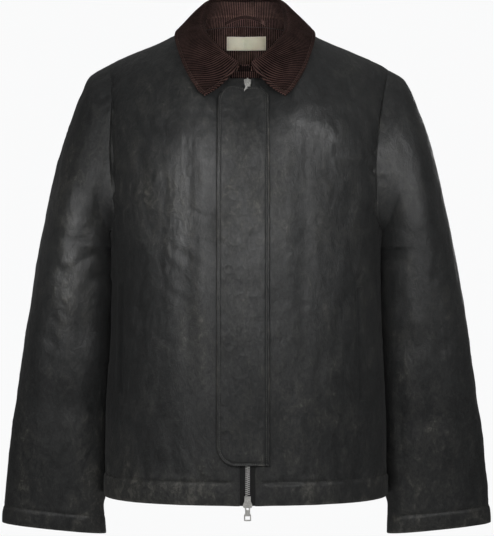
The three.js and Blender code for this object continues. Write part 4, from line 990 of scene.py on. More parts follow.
def pucker(P, d, height=0.5, reach=9.0, size=13.0, seed=5):
    return height * noise(P, (size, size, size), seed) * np.exp(-(d / reach) ** 2)


def wear_and_shade_lines(relief, *lines):
    """Tone from the height of the crumples, paler on their tops and darker in their hollows, and from how near stitched
    and turned edges are: positive amounts are wear, negative amounts are painted shade along grooves and openings.
    """
    w = np.clip(relief * 0.22, -0.14, 0.14)
    for d, width, amount in lines:
        w = w + amount * np.exp(-(d / width) ** 2)
    return w


def wax(P):
    """How thick and glossy the wax lies, by place, from 0 (dry) to 1."""
    x, z = P[..., 0], P[..., 2]
    spots = [(-95, -250, 55, 140, 0.38), (0, -220, 40, 130, -0.12), (140, -120, 65, 55, 0.9), (105, -280, 70, 130, 0.12),
             (230, -170, 40, 90, 0.35), (-262, -330, 45, 90, 0.9), (-250, -160, 50, 85, -0.6), (0, -560, 60, 110, -0.4),
             (120, -560, 90, 110, -0.3), (-120, -540, 80, 110, -0.2), (-190, -400, 40, 150, 0.25), (190, -400, 30, 150, 0.25),
             (-330, -640, 60, 100, -0.3), (330, -640, 60, 100, -0.3), (0, -700, 300, 30, 0.1)]
    w = 0.42 + 0.14 * noise(P, (55, 55, 75), 12) + 0.1 * noise(P, (22, 22, 30), 13)
    for cx, cz, sx, sz, amount in spots:
        w = w + amount * np.exp(-((x - cx) / sx) ** 2 - ((z - cz) / sz) ** 2)
    return np.clip(w, 0, 1)


def scuffs(P):
    """How cracked the wax is, by place: most over the chest, the flap and the elbows."""
    x, y, z = P[..., 0], P[..., 1], P[..., 2]
    spots = [(-85, -215, 55, 110, 1.0), (-120, -330, 50, 80, 0.8), (0, -260, 32, 150, 0.75), (95, -330, 60, 110, 0.6),
             (110, -170, 60, 60, 0.5), (-250, -380, 50, 70, 0.8), (255, -380, 50, 70, 0.8), (240, -180, 40, 80, 0.6),
             (-165, -600, 60, 60, 0.5), (150, -610, 60, 60, 0.5), (-300, -620, 50, 80, 0.5), (310, -620, 50, 80, 0.5)]
    w = 0
    for cx, cz, sx, sz, amount in spots:
        w = w + amount * np.exp(-((x - cx) / sx) ** 2 - ((z - cz) / sz) ** 2)
    return np.clip(w, 0, 1.2)


# ------------------------------------------------------------------ fronts and back
WELT = {1: dict(top=-369.0, bottom=-541.0, x_top=156.0, x_bottom=160.5, width=15.0),
        -1: dict(top=-362.0, bottom=-534.0, x_top=176.0, x_bottom=178.0, width=13.0)}
low_f = np.unique(np.concatenate([np.linspace(0, 46 / 379, 30), np.linspace(46 / 379, 1, 96)]))
up_f = np.unique(np.concatenate([np.linspace(0, 0.955, 88), np.linspace(0.955, 1, 9)]))
s_side = np.unique(np.concatenate([np.linspace(0, 0.03, 4), np.linspace(0.03, 0.95, 84), np.linspace(0.95, 1, 11)]))
s_rear = np.unique(np.concatenate([np.linspace(0, 0.03, 3), np.linspace(0.03, 0.95, 62), np.linspace(0.95, 1, 9)]))


def panel_relief(P, face, from_hem, to_side, to_top, s_list):
    facing = np.full(P.shape[:2], 1.0 if face < 0 else 0.0)
    h, relief = cloth_relief(P, facing)
    hem_d = np.abs(from_hem - HEM_DEPTH)
    h = h * (0.1 + 0.9 * ramp(to_side, 0, 18)) * (0.25 + 0.75 * ramp(to_top, 0, 14)) * (0.5 + 0.5 * ramp(from_hem, 0, 40))
    h = h + seam_line(to_side, 0.3, 1.6, 0.1) + np.where(s_list[None, :] >= SPLIT, seam_line(to_top, 0.5, 2.0, 0.25), 0)
    calm = 0.2 + 0.8 * ramp(to_side, 0, 18)
    h = h + (topstitch(hem_d, 1.5, 2.2) + pucker(P, hem_d, 1.9, 11, 10)) * calm + 0.5 * ramp(HEM_DEPTH - from_hem, 0, 5)
    h = h + 1.3 * np.sin(math.pi * np.clip(from_hem / HEM_DEPTH, 0, 1)) ** 0.7
    h = h + pucker(P, to_side - 8, 0.5, 7, 14, 2)
    # short creases that run into the armhole seam
    armhole = ramp(P[..., 2], -345, -270) * (1 - ramp(P[..., 2], -90, -50)) * ramp(to_side, 0, 5) * np.exp(-((to_side - 5) / 13) ** 2)
    h = h + (4.0 if face < 0 else 1.6) * armhole * (noise(P + 0.5 * P[..., [2, 1, 0]] * np.array([0, 0, 1.0]), (40, 60, 9), 21) - 0.2)
    wear = wear_and_shade_lines(relief, (hem_d, 2.5, 0.12), (from_hem, 3.0, 0.22), (to_side, 2.0, 0.1))
    wear = wear + 0.12 * ramp(HEM_DEPTH - from_hem, 0, 4)
    return h, wear


def hem_line(P, from_hem, j_hint=0):
    """The line on a panel at the depth of its hem stitch."""
    pts = []
    for i in range(P.shape[1]):
        pts.append([np.interp(HEM_DEPTH, from_hem[:, i], P[:, i, k]) for k in range(3)])
    return np.array(pts)


def front_panel(side):
    edge = ZIP_OPENING / 2 + side * ZIP_X
    P = half_panel(-1, side, edge, s_side, low_f, up_f)
    P[:, 0, 0] = side * (edge - 5.0 * ramp(P[:, 0, 2], -104, -93))
    a, b = arc_rows(P)
    from_hem, to_top = a, a[-1] - a
    to_side = b[:, -1:] - b
    h, wear = panel_relief(P, -1, from_hem, to_side, to_top, s_side)
    # in-seam pocket: the seam's valley under the welt's outer edge, closing above and below
    u, v = screen(P)
    line = [(357, 283), (358.5, 300), (359.5, 330), (361, 380), (366, 430), (368, 462)] if side > 0 else [(113, 284), (112, 300), (110, 330), (108.5, 362)]
    d, f = near(u, v, line)
    d = np.abs(d) * MM_PER_PX
    w = WELT[side]
    ax = np.abs(P[..., 0])
    f = np.clip((P[..., 2] - w["bottom"]) / (w["top"] - w["bottom"]), 0, 1)
    wx = mix(w["x_bottom"], w["x_top"], f)
    over = ramp(ax, wx - 12, wx) * (1 - ramp(ax, wx + w["width"], wx + w["width"] + 10)) * ramp(P[..., 2], w["bottom"] - 10, w["bottom"]) * (1 - ramp(P[..., 2], w["top"], w["top"] + 10))
    h = h * (1 - 0.85 * over) - 0.7 * over
    h = h + topstitch(d, 0.9, 2.4) * (1 - over)
    opening = np.exp(-((ax - wx) / 1.7) ** 2) * ramp(P[..., 2], w["bottom"] - 4, w["bottom"] + 8) * (1 - ramp(P[..., 2], w["top"] - 8, w["top"] + 4))
    h = h - 0.9 * opening
    # painted shade: the cloth is coloured darker along the pocket's opening, where it lies in shade
    wear = wear - 0.3 * opening
    # the edge beside the zip is turned under and lies flat
    h = h * ramp(b, 0, 26) - 0.25 * np.exp(-((b - 6) / 2.0) ** 2)
    h[0] *= 0.3
    N = grid_normals(P, False, FORWARD)
    Q = P + N * h[..., None]
    Q[:, 0, 0] = P[:, 0, 0]
    scuff = scuffs(Q)
    name = "front_left" if side > 0 else "front_right"
    obj = shell("cloth_" + name, Q, CLOTH - 0.2, FORWARD, WAXED, rim=0.4, values={"wear": wear, "scuff": scuff, "wax": wax(Q)})
    finish_piece(obj, [name])
    line = hem_line(Q, from_hem)
    stitch_lines.append((line, np.array([np.interp(1, [0, 1], [0, 1]) * n for n in N[20]])))
    return Q


def back_panel():
    halves = []
    for side in (1, -1):
        halves.append(half_panel(1, side, 0.0, s_rear, low_f, up_f))
    P = np.concatenate([halves[0][:, ::-1], halves[1][:, 1:]], axis=1)
    a, b = arc_rows(P)
    s_all = np.concatenate([s_rear[::-1], s_rear[1:]])
    to_side = np.minimum(b, b[:, -1:] - b)
    h, wear = panel_relief(P, 1, a, to_side, a[-1] - a, s_all)
    N = grid_normals(P, False, BACKWARD)
    Q = P + N * h[..., None]
    obj = shell("cloth_back", Q, CLOTH - 0.2, BACKWARD, WAXED, rim=0.4, values={"wear": wear, "scuff": scuffs(Q), "wax": wax(Q)})
    finish_piece(obj, ["back"])
    stitch_lines.append((hem_line(Q, a), N[20]))
    return Q


FRONT = {side: front_panel(side) for side in (-1, 1)}
BACK = back_panel()


# ------------------------------------------------------------------ sleeves
def outline_of(P, side, outer):
    """The outermost or innermost line of a grid as it is seen from the front, by row downwards, in millimetres from the middle."""
    u, v = screen(P)
    u, v = (u.ravel() - 246.5) * side * MM_PER_PX, v.ravel()
    rows = np.arange(225.0, 480.0, 1.5)
    out = []
    for a in rows:
        k = np.abs(v - a) < 3
        out.append((u[k].max() if outer else u[k].min()) if k.any() else np.nan)
    out = np.array(out)
    ok = ~np.isnan(out)
    return rows[ok], out[ok]


FROM_FRONT, FROM_BEHIND = np.array([1.0, 1.0, 1.0]), np.array([1.0, -1.0, 1.0])


def body_outline(side, view):
    a = outline_of(FRONT[side] * view, side, True)
    b = outline_of(BACK * view, side, True)
    return lambda v: np.maximum(np.interp(v, *a), np.interp(v, *b))


def sleeve(side):
    reaches = np.unique(np.concatenate([np.linspace(0, 16, 9), np.linspace(16, 660, 176), np.linspace(660, 708, 29)]))
    turns = np.linspace(0, 360, 108, endpoint=False)
    P = sleeve_rings(side, reaches, turns)
    # the rings fan out below the armpit: the bend there is rounded off
    weights = np.exp(-np.linspace(-2, 2, 31) ** 2)
    rounded = np.apply_along_axis(lambda a: np.convolve(np.pad(a, 15, mode="edge"), weights / weights.sum(), "valid"), 0, P)
    soft = (ramp(reaches, 70, 130) * (1 - ramp(reaches, 560, 620)))[:, None] * ramp(-np.cos(np.radians(turns)), -0.6, 0.2)[None]
    P = mix(P, rounded, soft[..., None])
    hint = P - np.roll(P, len(turns) // 2, 1)
    N = grid_normals(P, True, hint)
    fold = 0
    for s, reach, turn, width, spread_deg, height in SLEEVE_FOLDS:
        if s == side:
            fold = fold + height * np.exp(-((reaches[:, None] - reach) / width) ** 2) * np.exp(-((turns[None] - turn) / spread_deg) ** 2)
    P = P + N * np.asarray(fold)[..., None]
    step = P[1] - P[0]
    step /= np.linalg.norm(step, axis=1, keepdims=True)
    P[0] += step * SEAM_GAP
    P[0, :, 0] += side * SEAM_GAP * 0.6
    N = grid_normals(P, True, hint)
    facing = ramp(-N[..., 1], -0.25, 0.25)
    h, relief = cloth_relief(P, facing)
    R = np.broadcast_to(reaches[:, None], h.shape)
    turn = np.broadcast_to(turns[None], h.shape)
    ring = np.linalg.norm(np.roll(P, -1, 1) - P, axis=2)
    around = np.concatenate([np.zeros((len(reaches), 1)), np.cumsum(ring, 1)[:, :-1]], 1)
    # ease gathered into the sleeve's head, most at the top
    head = np.cos(np.radians(turn / 2)) ** 2 + np.cos(np.radians((360 - turn) / 2)) ** 2
    wrap = (around / (np.cumsum(ring, 1)[:, -1:]) * 2 * math.pi)
    gather = 0.75 * np.sin(wrap * 37 + 1.6 * np.sin(wrap * 5)) * np.exp(-((R - 12) / 15) ** 2) * (0.3 + 0.4 * head) * ramp(R, 1, 9)
    end = 708 - R
    to_cuff = np.linalg.norm(np.diff(P, axis=0), axis=2)
    to_cuff = np.concatenate([np.cumsum(to_cuff[::-1], 0)[::-1], np.zeros((1, len(turns)))])
    cuff_d = np.abs(to_cuff - CUFF_DEPTH)
    h = h * ramp(R, 0, 30) * (0.4 + 0.6 * ramp(to_cuff, 0, 34))
    h = h + (1.25 + 1.1 * facing * ramp(turn, 20, 60)) * gather * ramp(np.abs(np.where(turn > 180, turn - 360, turn)), 6, 30) + seam_line(R, 0.25, 1.8, 0.0)
    under = np.abs(turn - 184) / 360 * np.cumsum(ring, 1)[:, -1:]
    h = h + topstitch(under, 1.2, 2.8) + pucker(P, under, 0.5, 8, 14, 3)
    edgewise = 0.3 + 0.7 * np.abs(N[..., 1])
    h = h + edgewise * (topstitch(cuff_d, 1.4, 2.2) + pucker(P, cuff_d, 1.6, 10, 10)) + 0.4 * ramp(CUFF_DEPTH - to_cuff, 0, 5)
    h = h + 0.9 * np.sin(math.pi * np.clip(to_cuff / CUFF_DEPTH, 0, 1)) ** 0.7
    wear = wear_and_shade_lines(relief, (cuff_d, 2.5, 0.12), (to_cuff, 3.0, 0.25), (R, 2.5, 0.1)) + 0.1 * ramp(CUFF_DEPTH - to_cuff, 0, 4)
    # the inner side stays clear of the body
    inner = ramp(-N[..., 0] * side, 0.2, 0.8)
    h = np.where(h > 0, h * (1 - 0.85 * inner), h)
    Q = P + N * h[..., None]
    low = ramp(screen(Q)[1], 214, 262) * ramp(Q[..., 2], -700, -672) * ramp(-np.cos(np.radians(turn)), 0.0, 0.85)
    for view, margin, share in ((FROM_FRONT, 1.6, 1.0), (FROM_BEHIND, 4.0, ramp(-np.sin(np.radians(turn)), -0.25, 0.15))):
        row = screen(Q * view)[1]
        innermost = np.interp(row, *outline_of((Q * view)[reaches > 290], side, False))
        push = np.clip(innermost - body_outline(side, view)(row) + margin + ramp(row, 450, 470), 0, 9) * share * low
        Q[..., 0] -= side * push
    # the seam allowance, tucked under the panels
    tuck = Q[0] - step * 2.2 - N[0] * 1.5
    G = np.concatenate([tuck[None], Q])
    name = "sleeve_left" if side > 0 else "sleeve_right"
    obj = shell("cloth_" + name, G, CLOTH - 0.4, np.concatenate([hint[:1], hint]), WAXED, closed=True, rim=0.4,
                values={"wear": np.concatenate([wear[:1], wear]), "scuff": scuffs(G), "wax": wax(G)})
    finish_piece(obj, [name])
    line = np.array([[np.interp(-CUFF_DEPTH, -to_cuff[:, i], Q[:, i, k]) for k in range(3)] for i in range(len(turns))])
    line = np.vstack([line, line[:1]])
    stitch_lines.append((line, np.vstack([N[-20], N[-20][:1]])))
    return Q


SLEEVES = {side: sleeve(side) for side in (-1, 1)}

# ------------------------------------------------------------------ collar
WALE = 2.85
roll_half = catmull(COLLAR_ROLL)
edge_pts = []
for x, z, proud in COLLAR_EDGE:
    p = body_point(-1, np.array(float(x)), np.array(float(z)), np.array(float(proud)))
    edge_pts.append((p[0] - float(shift_at(z)), p[1], p[2]))
edge_half = catmull(np.array(edge_pts + [tuple(map(float, p)) for p in COLLAR_EDGE_BACK]))
neck_s = np.linspace(0, SPLIT, 120)
_fn = half_panel(-1, 1, ZIP_OPENING / 2, neck_s, np.array([0.0, 1.0]), np.array([0.0, 0.5, 1.0]))[-1]
_bn = half_panel(1, 1, 0.0, neck_s, np.array([0.0, 1.0]), np.array([0.0, 0.5, 1.0]))[-1]
neck_half = np.vstack([_fn, _bn[::-1][1:]])
neck_half[:, 0] -= shift_at(neck_half[:, 2])


def both(curve, s, shift=NECK_SHIFT):
    half = np.where(s <= 0.5, s * 2, (1 - s) * 2)
    p = along(curve, half)
    p[..., 0] = np.where(s <= 0.5, -1, 1) * p[..., 0] + shift
    return p


def wales(phase, height):
    """Ridge profile from 0 to 1 at a phase counted in wales, and its height."""
    r = np.abs(np.cos(math.pi * phase))
    r = 1 - (1 - r) ** 1.6
    return r, height * (r - 0.55)


def collar_fall():
    nS = 1020
    s = np.linspace(0, 1, nS)
    half = np.where(s <= 0.5, s * 2, (1 - s) * 2)
    side = np.where(s <= 0.5, -1, 1)
    top, low = both(roll_half, s), both(edge_half, s)
    chord = low - top
    outwards = np.stack([top[:, 0] + low[:, 0] - 2 * NECK_SHIFT, top[:, 1] + low[:, 1] + 20, 0 * s], -1)
    outwards /= np.linalg.norm(outwards, axis=1, keepdims=True)
    inwards = -np.stack([top[:, 0] - NECK_SHIFT, top[:, 1] + 8, 0 * s], -1)
    inwards /= np.linalg.norm(inwards, axis=1, keepdims=True)
    round_ = mix(3.0, 9.0, np.minimum(1, half * 2))
    ts = np.concatenate([[0.0, 0.015], np.linspace(0.04, 0.96, 25), [0.98, 1.0]])
    rows = []
    # the roll: over the top and a little way down inside
    for a in np.linspace(math.pi * 1.12, 0.12 * math.pi, 9):
        r = 3.1
        c = top + inwards * r
        rows.append(c - inwards * r * math.cos(a) + np.array([0, 0, 1.0]) * (r * math.sin(a) - 1.4 * (1 if a > math.pi else math.sin(a / 2) ** 4)))
    for t in ts:
        p = top + chord * t
        lift = round_ * 0.55
        p = p + outwards * (lift * math.sin(math.pi * t ** 0.6))[:, None]
        p[:, 2] += lift * math.sin(math.pi * t ** 0.55)
        bow = 6 * 4 * t * (1 - t) * (1 - half) ** 14
        p[:, 0] -= side * bow * 0.72
        p[:, 2] -= bow * 0.69
        rows.append(p)
    P = np.stack(rows)
    N = grid_normals(P, False, P - np.array([NECK_SHIFT, -10, 20]))
    a, b = arc_rows(P)
    t_row = np.concatenate([np.linspace(-0.12, -0.01, 9), ts])[:, None]
    roll_len, edge_len = arc(top) - arc(top)[-1] / 2, arc(low) - arc(low)[-1] / 2
    across = roll_len[None] + 0.3 * np.clip(t_row, 0, 1) ** 2.4 * (edge_len - roll_len)[None]
    phase = across / WALE + 0.12 * noise(P, (30, 30, 30), 2)
    # soft waves of the long edge, and the dip of the topstitching round it
    to_edge = a[-1] - a
    to_side = np.minimum(b, b[:, -1:] - b)
    rim = np.minimum(to_edge, to_side + 200 * (t_row < 0.02))
    r, h = wales(phase, 0.95)
    h = h * ramp(rim, 0, 1.8) * (0.45 + 0.55 * ramp(t_row, -0.06, 0.05))
    stitch = np.abs(rim - 4.6)
    h = h - 0.5 * np.exp(-(stitch / 1.5) ** 2) + pucker(P, stitch, 0.35, 5, 8)
    h = h + 0.9 * noise(P, (38, 38, 38), 1) * ramp(rim, 0, 20) * ramp(t_row, 0.0, 0.25)
    Q = P + N * h[..., None]
    # paler along the rims and the roll; painted shade along the topstitch groove
    wear = 0.16 * np.exp(-(rim / 3.2) ** 2) + 0.14 * np.exp(-((t_row - 0.0) / 0.035) ** 2) + 0 * h - 0.1 * np.exp(-(stitch / 1.2) ** 2)
    thick = np.where(t_row < 0, 1.0, mix(1.0, COLLAR_CLOTH - 0.4, ramp(t_row, 0, 0.12))) + 0 * h
    obj = shell("collar_fall_cord", Q, thick, P - np.array([NECK_SHIFT, -10, 20]), CORD, rim=0.42, values={"phase": phase, "wear": wear})
    finish_piece(obj, ["collar_fall"])
    # the line of the topstitching: down one front edge, along the outer edge and up the other
    keep = slice(9, None)
    G, A, M = Q[keep], a[keep], N[keep]
    e = 4.6
    j_edge = [np.interp(-e, -(A[-1, i] - A[:, i]), np.arange(len(ts))) for i in range(nS)]
    i0 = np.array([np.interp(e, b[keep][j], np.arange(nS)) for j in range(len(ts))])
    i1 = np.array([np.interp(b[keep][j, -1] - e, b[keep][j], np.arange(nS)) for j in range(len(ts))])
    jj = np.arange(2, len(ts) - 1)
    stop = int(np.interp(e, b[-1], np.arange(nS)))
    down = [(j, i0[j]) for j in jj if j < j_edge[stop]]
    mid = [(j_edge[i], i) for i in range(stop, nS - stop, 3)]
    up = [(j, i1[j]) for j in jj[::-1] if j < j_edge[stop]]
    jf, fi = np.array(down + mid + up, float).T
    return Q, sample(G, jf, fi), sample(M, jf, fi)


COLLAR, collar_line, collar_normals = collar_fall()


def collar_stand():
    nS = 760
    s = np.linspace(0, 1, nS)
    low = both(neck_half, s, 0.0)
    low[:, 0] += shift_at(low[:, 2])
    top = both(roll_half, s)
    up = top - low
    length = np.linalg.norm(up, axis=1)
    inwards = -np.stack([top[:, 0] - NECK_SHIFT, top[:, 1] + 8, 0 * s], -1)
    inwards /= np.linalg.norm(inwards, axis=1, keepdims=True)
    rows = []
    ts = np.linspace(0, 1, 15)
    for t in ts:
        q = mix(0.5 / length, 1 - 4.2 / length, t)[:, None]
        rows.append(low + up * q + inwards * 3.8 * q * q)
    P = np.stack(rows)
    hint = P - np.array([NECK_SHIFT, -10, 0])
    hint[..., 2] = 0
    N = grid_normals(P, False, hint)
    a, b = arc_rows(P)
    across = arc(low)
    across = across - across[-1] / 2
    phase = across[None] / WALE + 0.1 * noise(P, (30, 30, 30), 2)
    r, h = wales(phase, 0.5)
    # the wales show on the inner side, so the relief goes that way
    seam = np.exp(-((a[-1] * 0.34 - a) / 1.4) ** 2)
    h = h * (1 - 0.6 * seam) - 0.9 * seam
    Q = P - N * (0.3 + h)[..., None]
    wear = 0.18 * np.exp(-((a[-1] * 0.34 + 2.6 - a) / 1.2) ** 2) + 0 * h
    # the face that shows is the inner one: build the sheet from it outwards
    obj = shell("collar_stand_cord", Q, 1.7, -hint, CORD_IN, rim=0.3, values={"phase": phase, "wear": wear})
    finish_piece(obj, ["collar_stand"])


collar_stand()

BAND = dict(right=-22.0, left=20.0, middle=5.2, top=-60.0, shoulder=-69.0, bottom=-77.8, y_top=-99.5, y_bottom=-104.5)


def neck_band():
    nI, nJ = 130, 30
    x = np.linspace(BAND["right"], BAND["left"], nI)
    off = np.abs(x - NECK_SHIFT)
    top = mix(BAND["top"], BAND["shoulder"], np.clip((off - BAND["middle"]) / 3, 0, 1))
    f = np.linspace(0, 1, nJ)[:, None]
    z = mix(BAND["bottom"], top[None], f)
    y = mix(BAND["y_bottom"], BAND["y_top"], (z - BAND["bottom"]) / (BAND["top"] - BAND["bottom"])) + x[None] ** 2 * 0.004
    P = np.stack([np.broadcast_to(x, z.shape), y, z], -1)
    r, h = wales(x[None] / WALE + 0 * z, 0.5)
    # an upper band that lies back behind a seam, and the roll along its top
    back = ramp(z, -70.2, -68.8)
    y_in = 1.4 * back * (1 - ramp(z, -62.2, -60.8)) + 0.8 * np.exp(-((z + 69.6) / 0.7) ** 2)
    P[..., 1] += y_in - h * (1 - 0.5 * back)
    # painted light: painted shade on the upper band that lies back, a painted highlight along the roll at its top, a
    # lighter painted strip just below the seam, and the lower band a little darker
    wear = -0.25 * back + 0.45 * ramp(z, -61.6, -60.6) - 0.06 * (1 - back) + 0.1 * np.exp(-((z + 71) / 0.8) ** 2)
    obj = shell("neck_band_cord", P, BAND_CLOTH - 0.3, FORWARD, CORD, rim=0.45, values={"phase": x[None] / WALE + 0 * z, "wear": wear})
    finish_piece(obj, ["neck_band"])


neck_band()

FACING = dict(half=66.0, bottom=-64.0, thick=1.5)


def neck_facing():
    nI, nJ = 250, 34
    ax = np.linspace(-FACING["half"], FACING["half"], nI)
    u = np.abs(ax) / FACING["half"]
    f = np.linspace(0, 1, nJ)[:, None]
    z = mix(FACING["bottom"] + 14 * u[None] ** 2, neck_z[1](np.abs(ax))[None] + 1.2, f)
    r, h = wales(ax[None] / WALE + 0 * z, 0.5)
    P = body_point(1, np.broadcast_to(ax, z.shape), z, -(CLOTH + 1.1 + FACING["thick"]) - h - 0.2)
    obj = shell("neck_facing_cord", P, FACING["thick"] - 0.2, FORWARD, CORD_IN, rim=0.4,
                values={"phase": ax[None] / WALE + 0 * z, "wear": -0.05 + 0 * z})
    finish_piece(obj, ["neck_facing"])


neck_facing()


def neck_label():
    nI, nJ = 64, 24
    x = np.linspace(-31, 31, nI)
    z = np.linspace(-16, 3.5, nJ)[:, None] + 0 * x
    X = np.broadcast_to(x, z.shape)
    ends = np.minimum(X + 31, 31 - X)
    sag = 0.35 * noise(np.stack([X, 0 * X, z], -1), (14, 14, 9), 3) * ramp(ends, 0, 6) + 0.35 * ramp(ends, 3.0, 4.2)
    P = body_point(1, X - shift_at(z), z, -(CLOTH + 1.1 + FACING["thick"] + 1.3) - 0.35 + sag * 0.6)
    obj = shell("neck_label_cloth", P, 0.6, FORWARD, LABEL_CLOTH, rim=0.45)
    finish_piece(obj, ["neck_label"])
    lines = []
    N = grid_normals(P, False, FORWARD)
    for xs in (-28.8, 28.8):
        i = np.interp(xs, x, np.arange(nI))
        j = np.linspace(0.8, nJ - 1.8, 20)
        lines.append((sample(P, j, np.full(20, i)), sample(N, j, np.full(20, i))))
    stitch_mesh("stitches_label", lines, THREAD_CREAM, 2.0, 1.5, 0.22)


neck_label()


def hanger_loop():
    nI, nJ = 120, 10
    u = np.linspace(0, 1, nI)
    arch = np.sin(math.pi * u)
    c = np.stack([mix(-31.0, 29.0, u), 62.5 - 2.6 * 4 * (u - 0.5) ** 2 - 7 * arch, 19 + 9 * arch], -1)
    v = np.linspace(-2.5, 2.5, nJ)
    P = c[None] + v[:, None, None] * np.array([0, 0.12, 1.0])
    P[..., 1] -= 0.55 * np.cos(v / 2.5 * math.pi / 2)[:, None]
    P[..., 2] += 0.5 * np.sin(u * 17)[None] * 0.4
    r, h = wales(np.broadcast_to(v[:, None], P.shape[:2]) / 1.7 + 0.5, 0.25)
    P[..., 1] -= h
    # a narrow painted highlight across the loop near its end; the rest a little darker
    obj = shell("hanger_loop_cord", P, 1.3, FORWARD, CORD_IN, rim=0.45, values={"phase": np.broadcast_to(v[:, None], P.shape[:2]) / 1.7 + 0.5, "wear": -0.12 + 0.5 * np.exp(-((u[None] - 0.93) / 0.045) ** 2) + 0 * h})
    finish_piece(obj, ["hanger_loop"])


hanger_loop()


# ------------------------------------------------------------------ zip
def strip(name, x0, x1, z_top, z_bottom, out, thick, nI, nJ, material, relief=None):
    z = np.linspace(z_bottom, z_top, nJ)[:, None] + np.zeros((1, nI))
    x = np.linspace(x0, x1, nI)[None] + 0 * z
    o = out + (relief(x, z) if relief else 0 * z)
    return shell(name, front_at(x, z, o), thick, FORWARD, material, rim=0.4)


TOP_Z, BOTTOM_Z = -86.2, -673.6
chain_top, chain_bottom = TOP_Z - 5.5 - 1.2, BOTTOM_Z + 8 + SEAM_GAP
for side, name in ((-1, "zip_tape_right"), (1, "zip_tape_left")):
    # the tape runs on behind the teeth that are clamped on its edge, almost to the middle
    near_x, far_x = ZIP_X + side * 0.25, ZIP_X + side * (ZIP_OPENING / 2 - SEAM_GAP)
    bead_x = ZIP_X + side * (CHAIN_WIDTH / 2 + SEAM_GAP)
    bead = lambda x, z, nx=bead_x: 0.45 * np.exp(-((x - nx) / 0.9) ** 2) + 0.06 * np.sin(z * 2.4)
    t = strip("woven_" + name, min(near_x, far_x), max(near_x, far_x), chain_top, -679, -0.5, TAPE_CLOTH - 0.2, 14, 230, TAPE, bead)
    finish_piece(t, [name])


def zip_teeth():
    pitch = 2.7
    zs = np.arange(chain_bottom + 1.2, chain_top - 1, pitch / 2)
    verts, faces, n = [], [], 0
    e = 0.28
    for k, z in enumerate(zs):
        side = 1 if k % 2 else -1
        c = front_at(np.array(ZIP_X), np.array(z), np.array(0.5 - 1.5))
        q = front_at(np.array(ZIP_X), np.array(z + 1), np.array(0.5 - 1.5))
        up = (q - c) / np.linalg.norm(q - c)
        out = np.cross(up, [1.0, 0, 0])
        out = out if out[1] < 0 else -out
        right = np.array([1.0, 0, 0])
        centre = c + right * side * 1.55
        w, h, d = 1.7, 0.52, 1.45
        ring = [(-w + e, -h), (w - e, -h), (w, -h + e), (w, h - e), (w - e, h), (-w + e, h), (-w, h - e), (-w, -h + e)]
        for depth, shrink in ((-d, 0.86), (-d + 0.35, 1.0), (d - 0.35, 1.0), (d, 0.86)):
            for a, b in ring:
                verts.append(centre + right * a * shrink + up * b * shrink + out * depth)
        for r in range(3):
            for q2 in range(8):
                e2 = (q2 + 1) % 8
                faces.append((n + r * 8 + q2, n + r * 8 + e2, n + r * 8 + 8 + e2, n + r * 8 + 8 + q2))
        faces.append(tuple(n + q2 for q2 in range(7, -1, -1)))
        faces.append(tuple(n + 24 + q2 for q2 in range(8)))
        n += 32
    mesh = bpy.data.meshes.new("zip_teeth")
    mesh.from_pydata((np.array(verts) / 1000).tolist(), [], faces)
    import bmesh
    bm = bmesh.new()
    bm.from_mesh(mesh)
    bmesh.ops.recalc_face_normals(bm, faces=bm.faces)
    bm.to_mesh(mesh)
    bm.free()
    obj = link(mesh, "zip_teeth", TEETH)
    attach(obj, "jacket")
    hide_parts("zip_chain")


zip_teeth()

for name in ("zip_slider_bottom", "zip_slider_top", "pull_tab", "pull_tab_top"):
    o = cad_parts[name]
    o.data.materials.clear()
    o.data.materials.append(METAL)
    mod = o.modifiers.new("bevel", "BEVEL")
    mod.width = 0.00032
    mod.segments = 2
    mod.limit_method = "ANGLE"
    mod.angle_limit = math.radians(35)


# ------------------------------------------------------------------ storm flap
FLAP = dict(right=-40.3, left=32.0, top=-91.2, bottom=-623.0, top_corner=21.0, bottom_corner=26.0, cut=9.0, proud=4.4, lift=3.8)


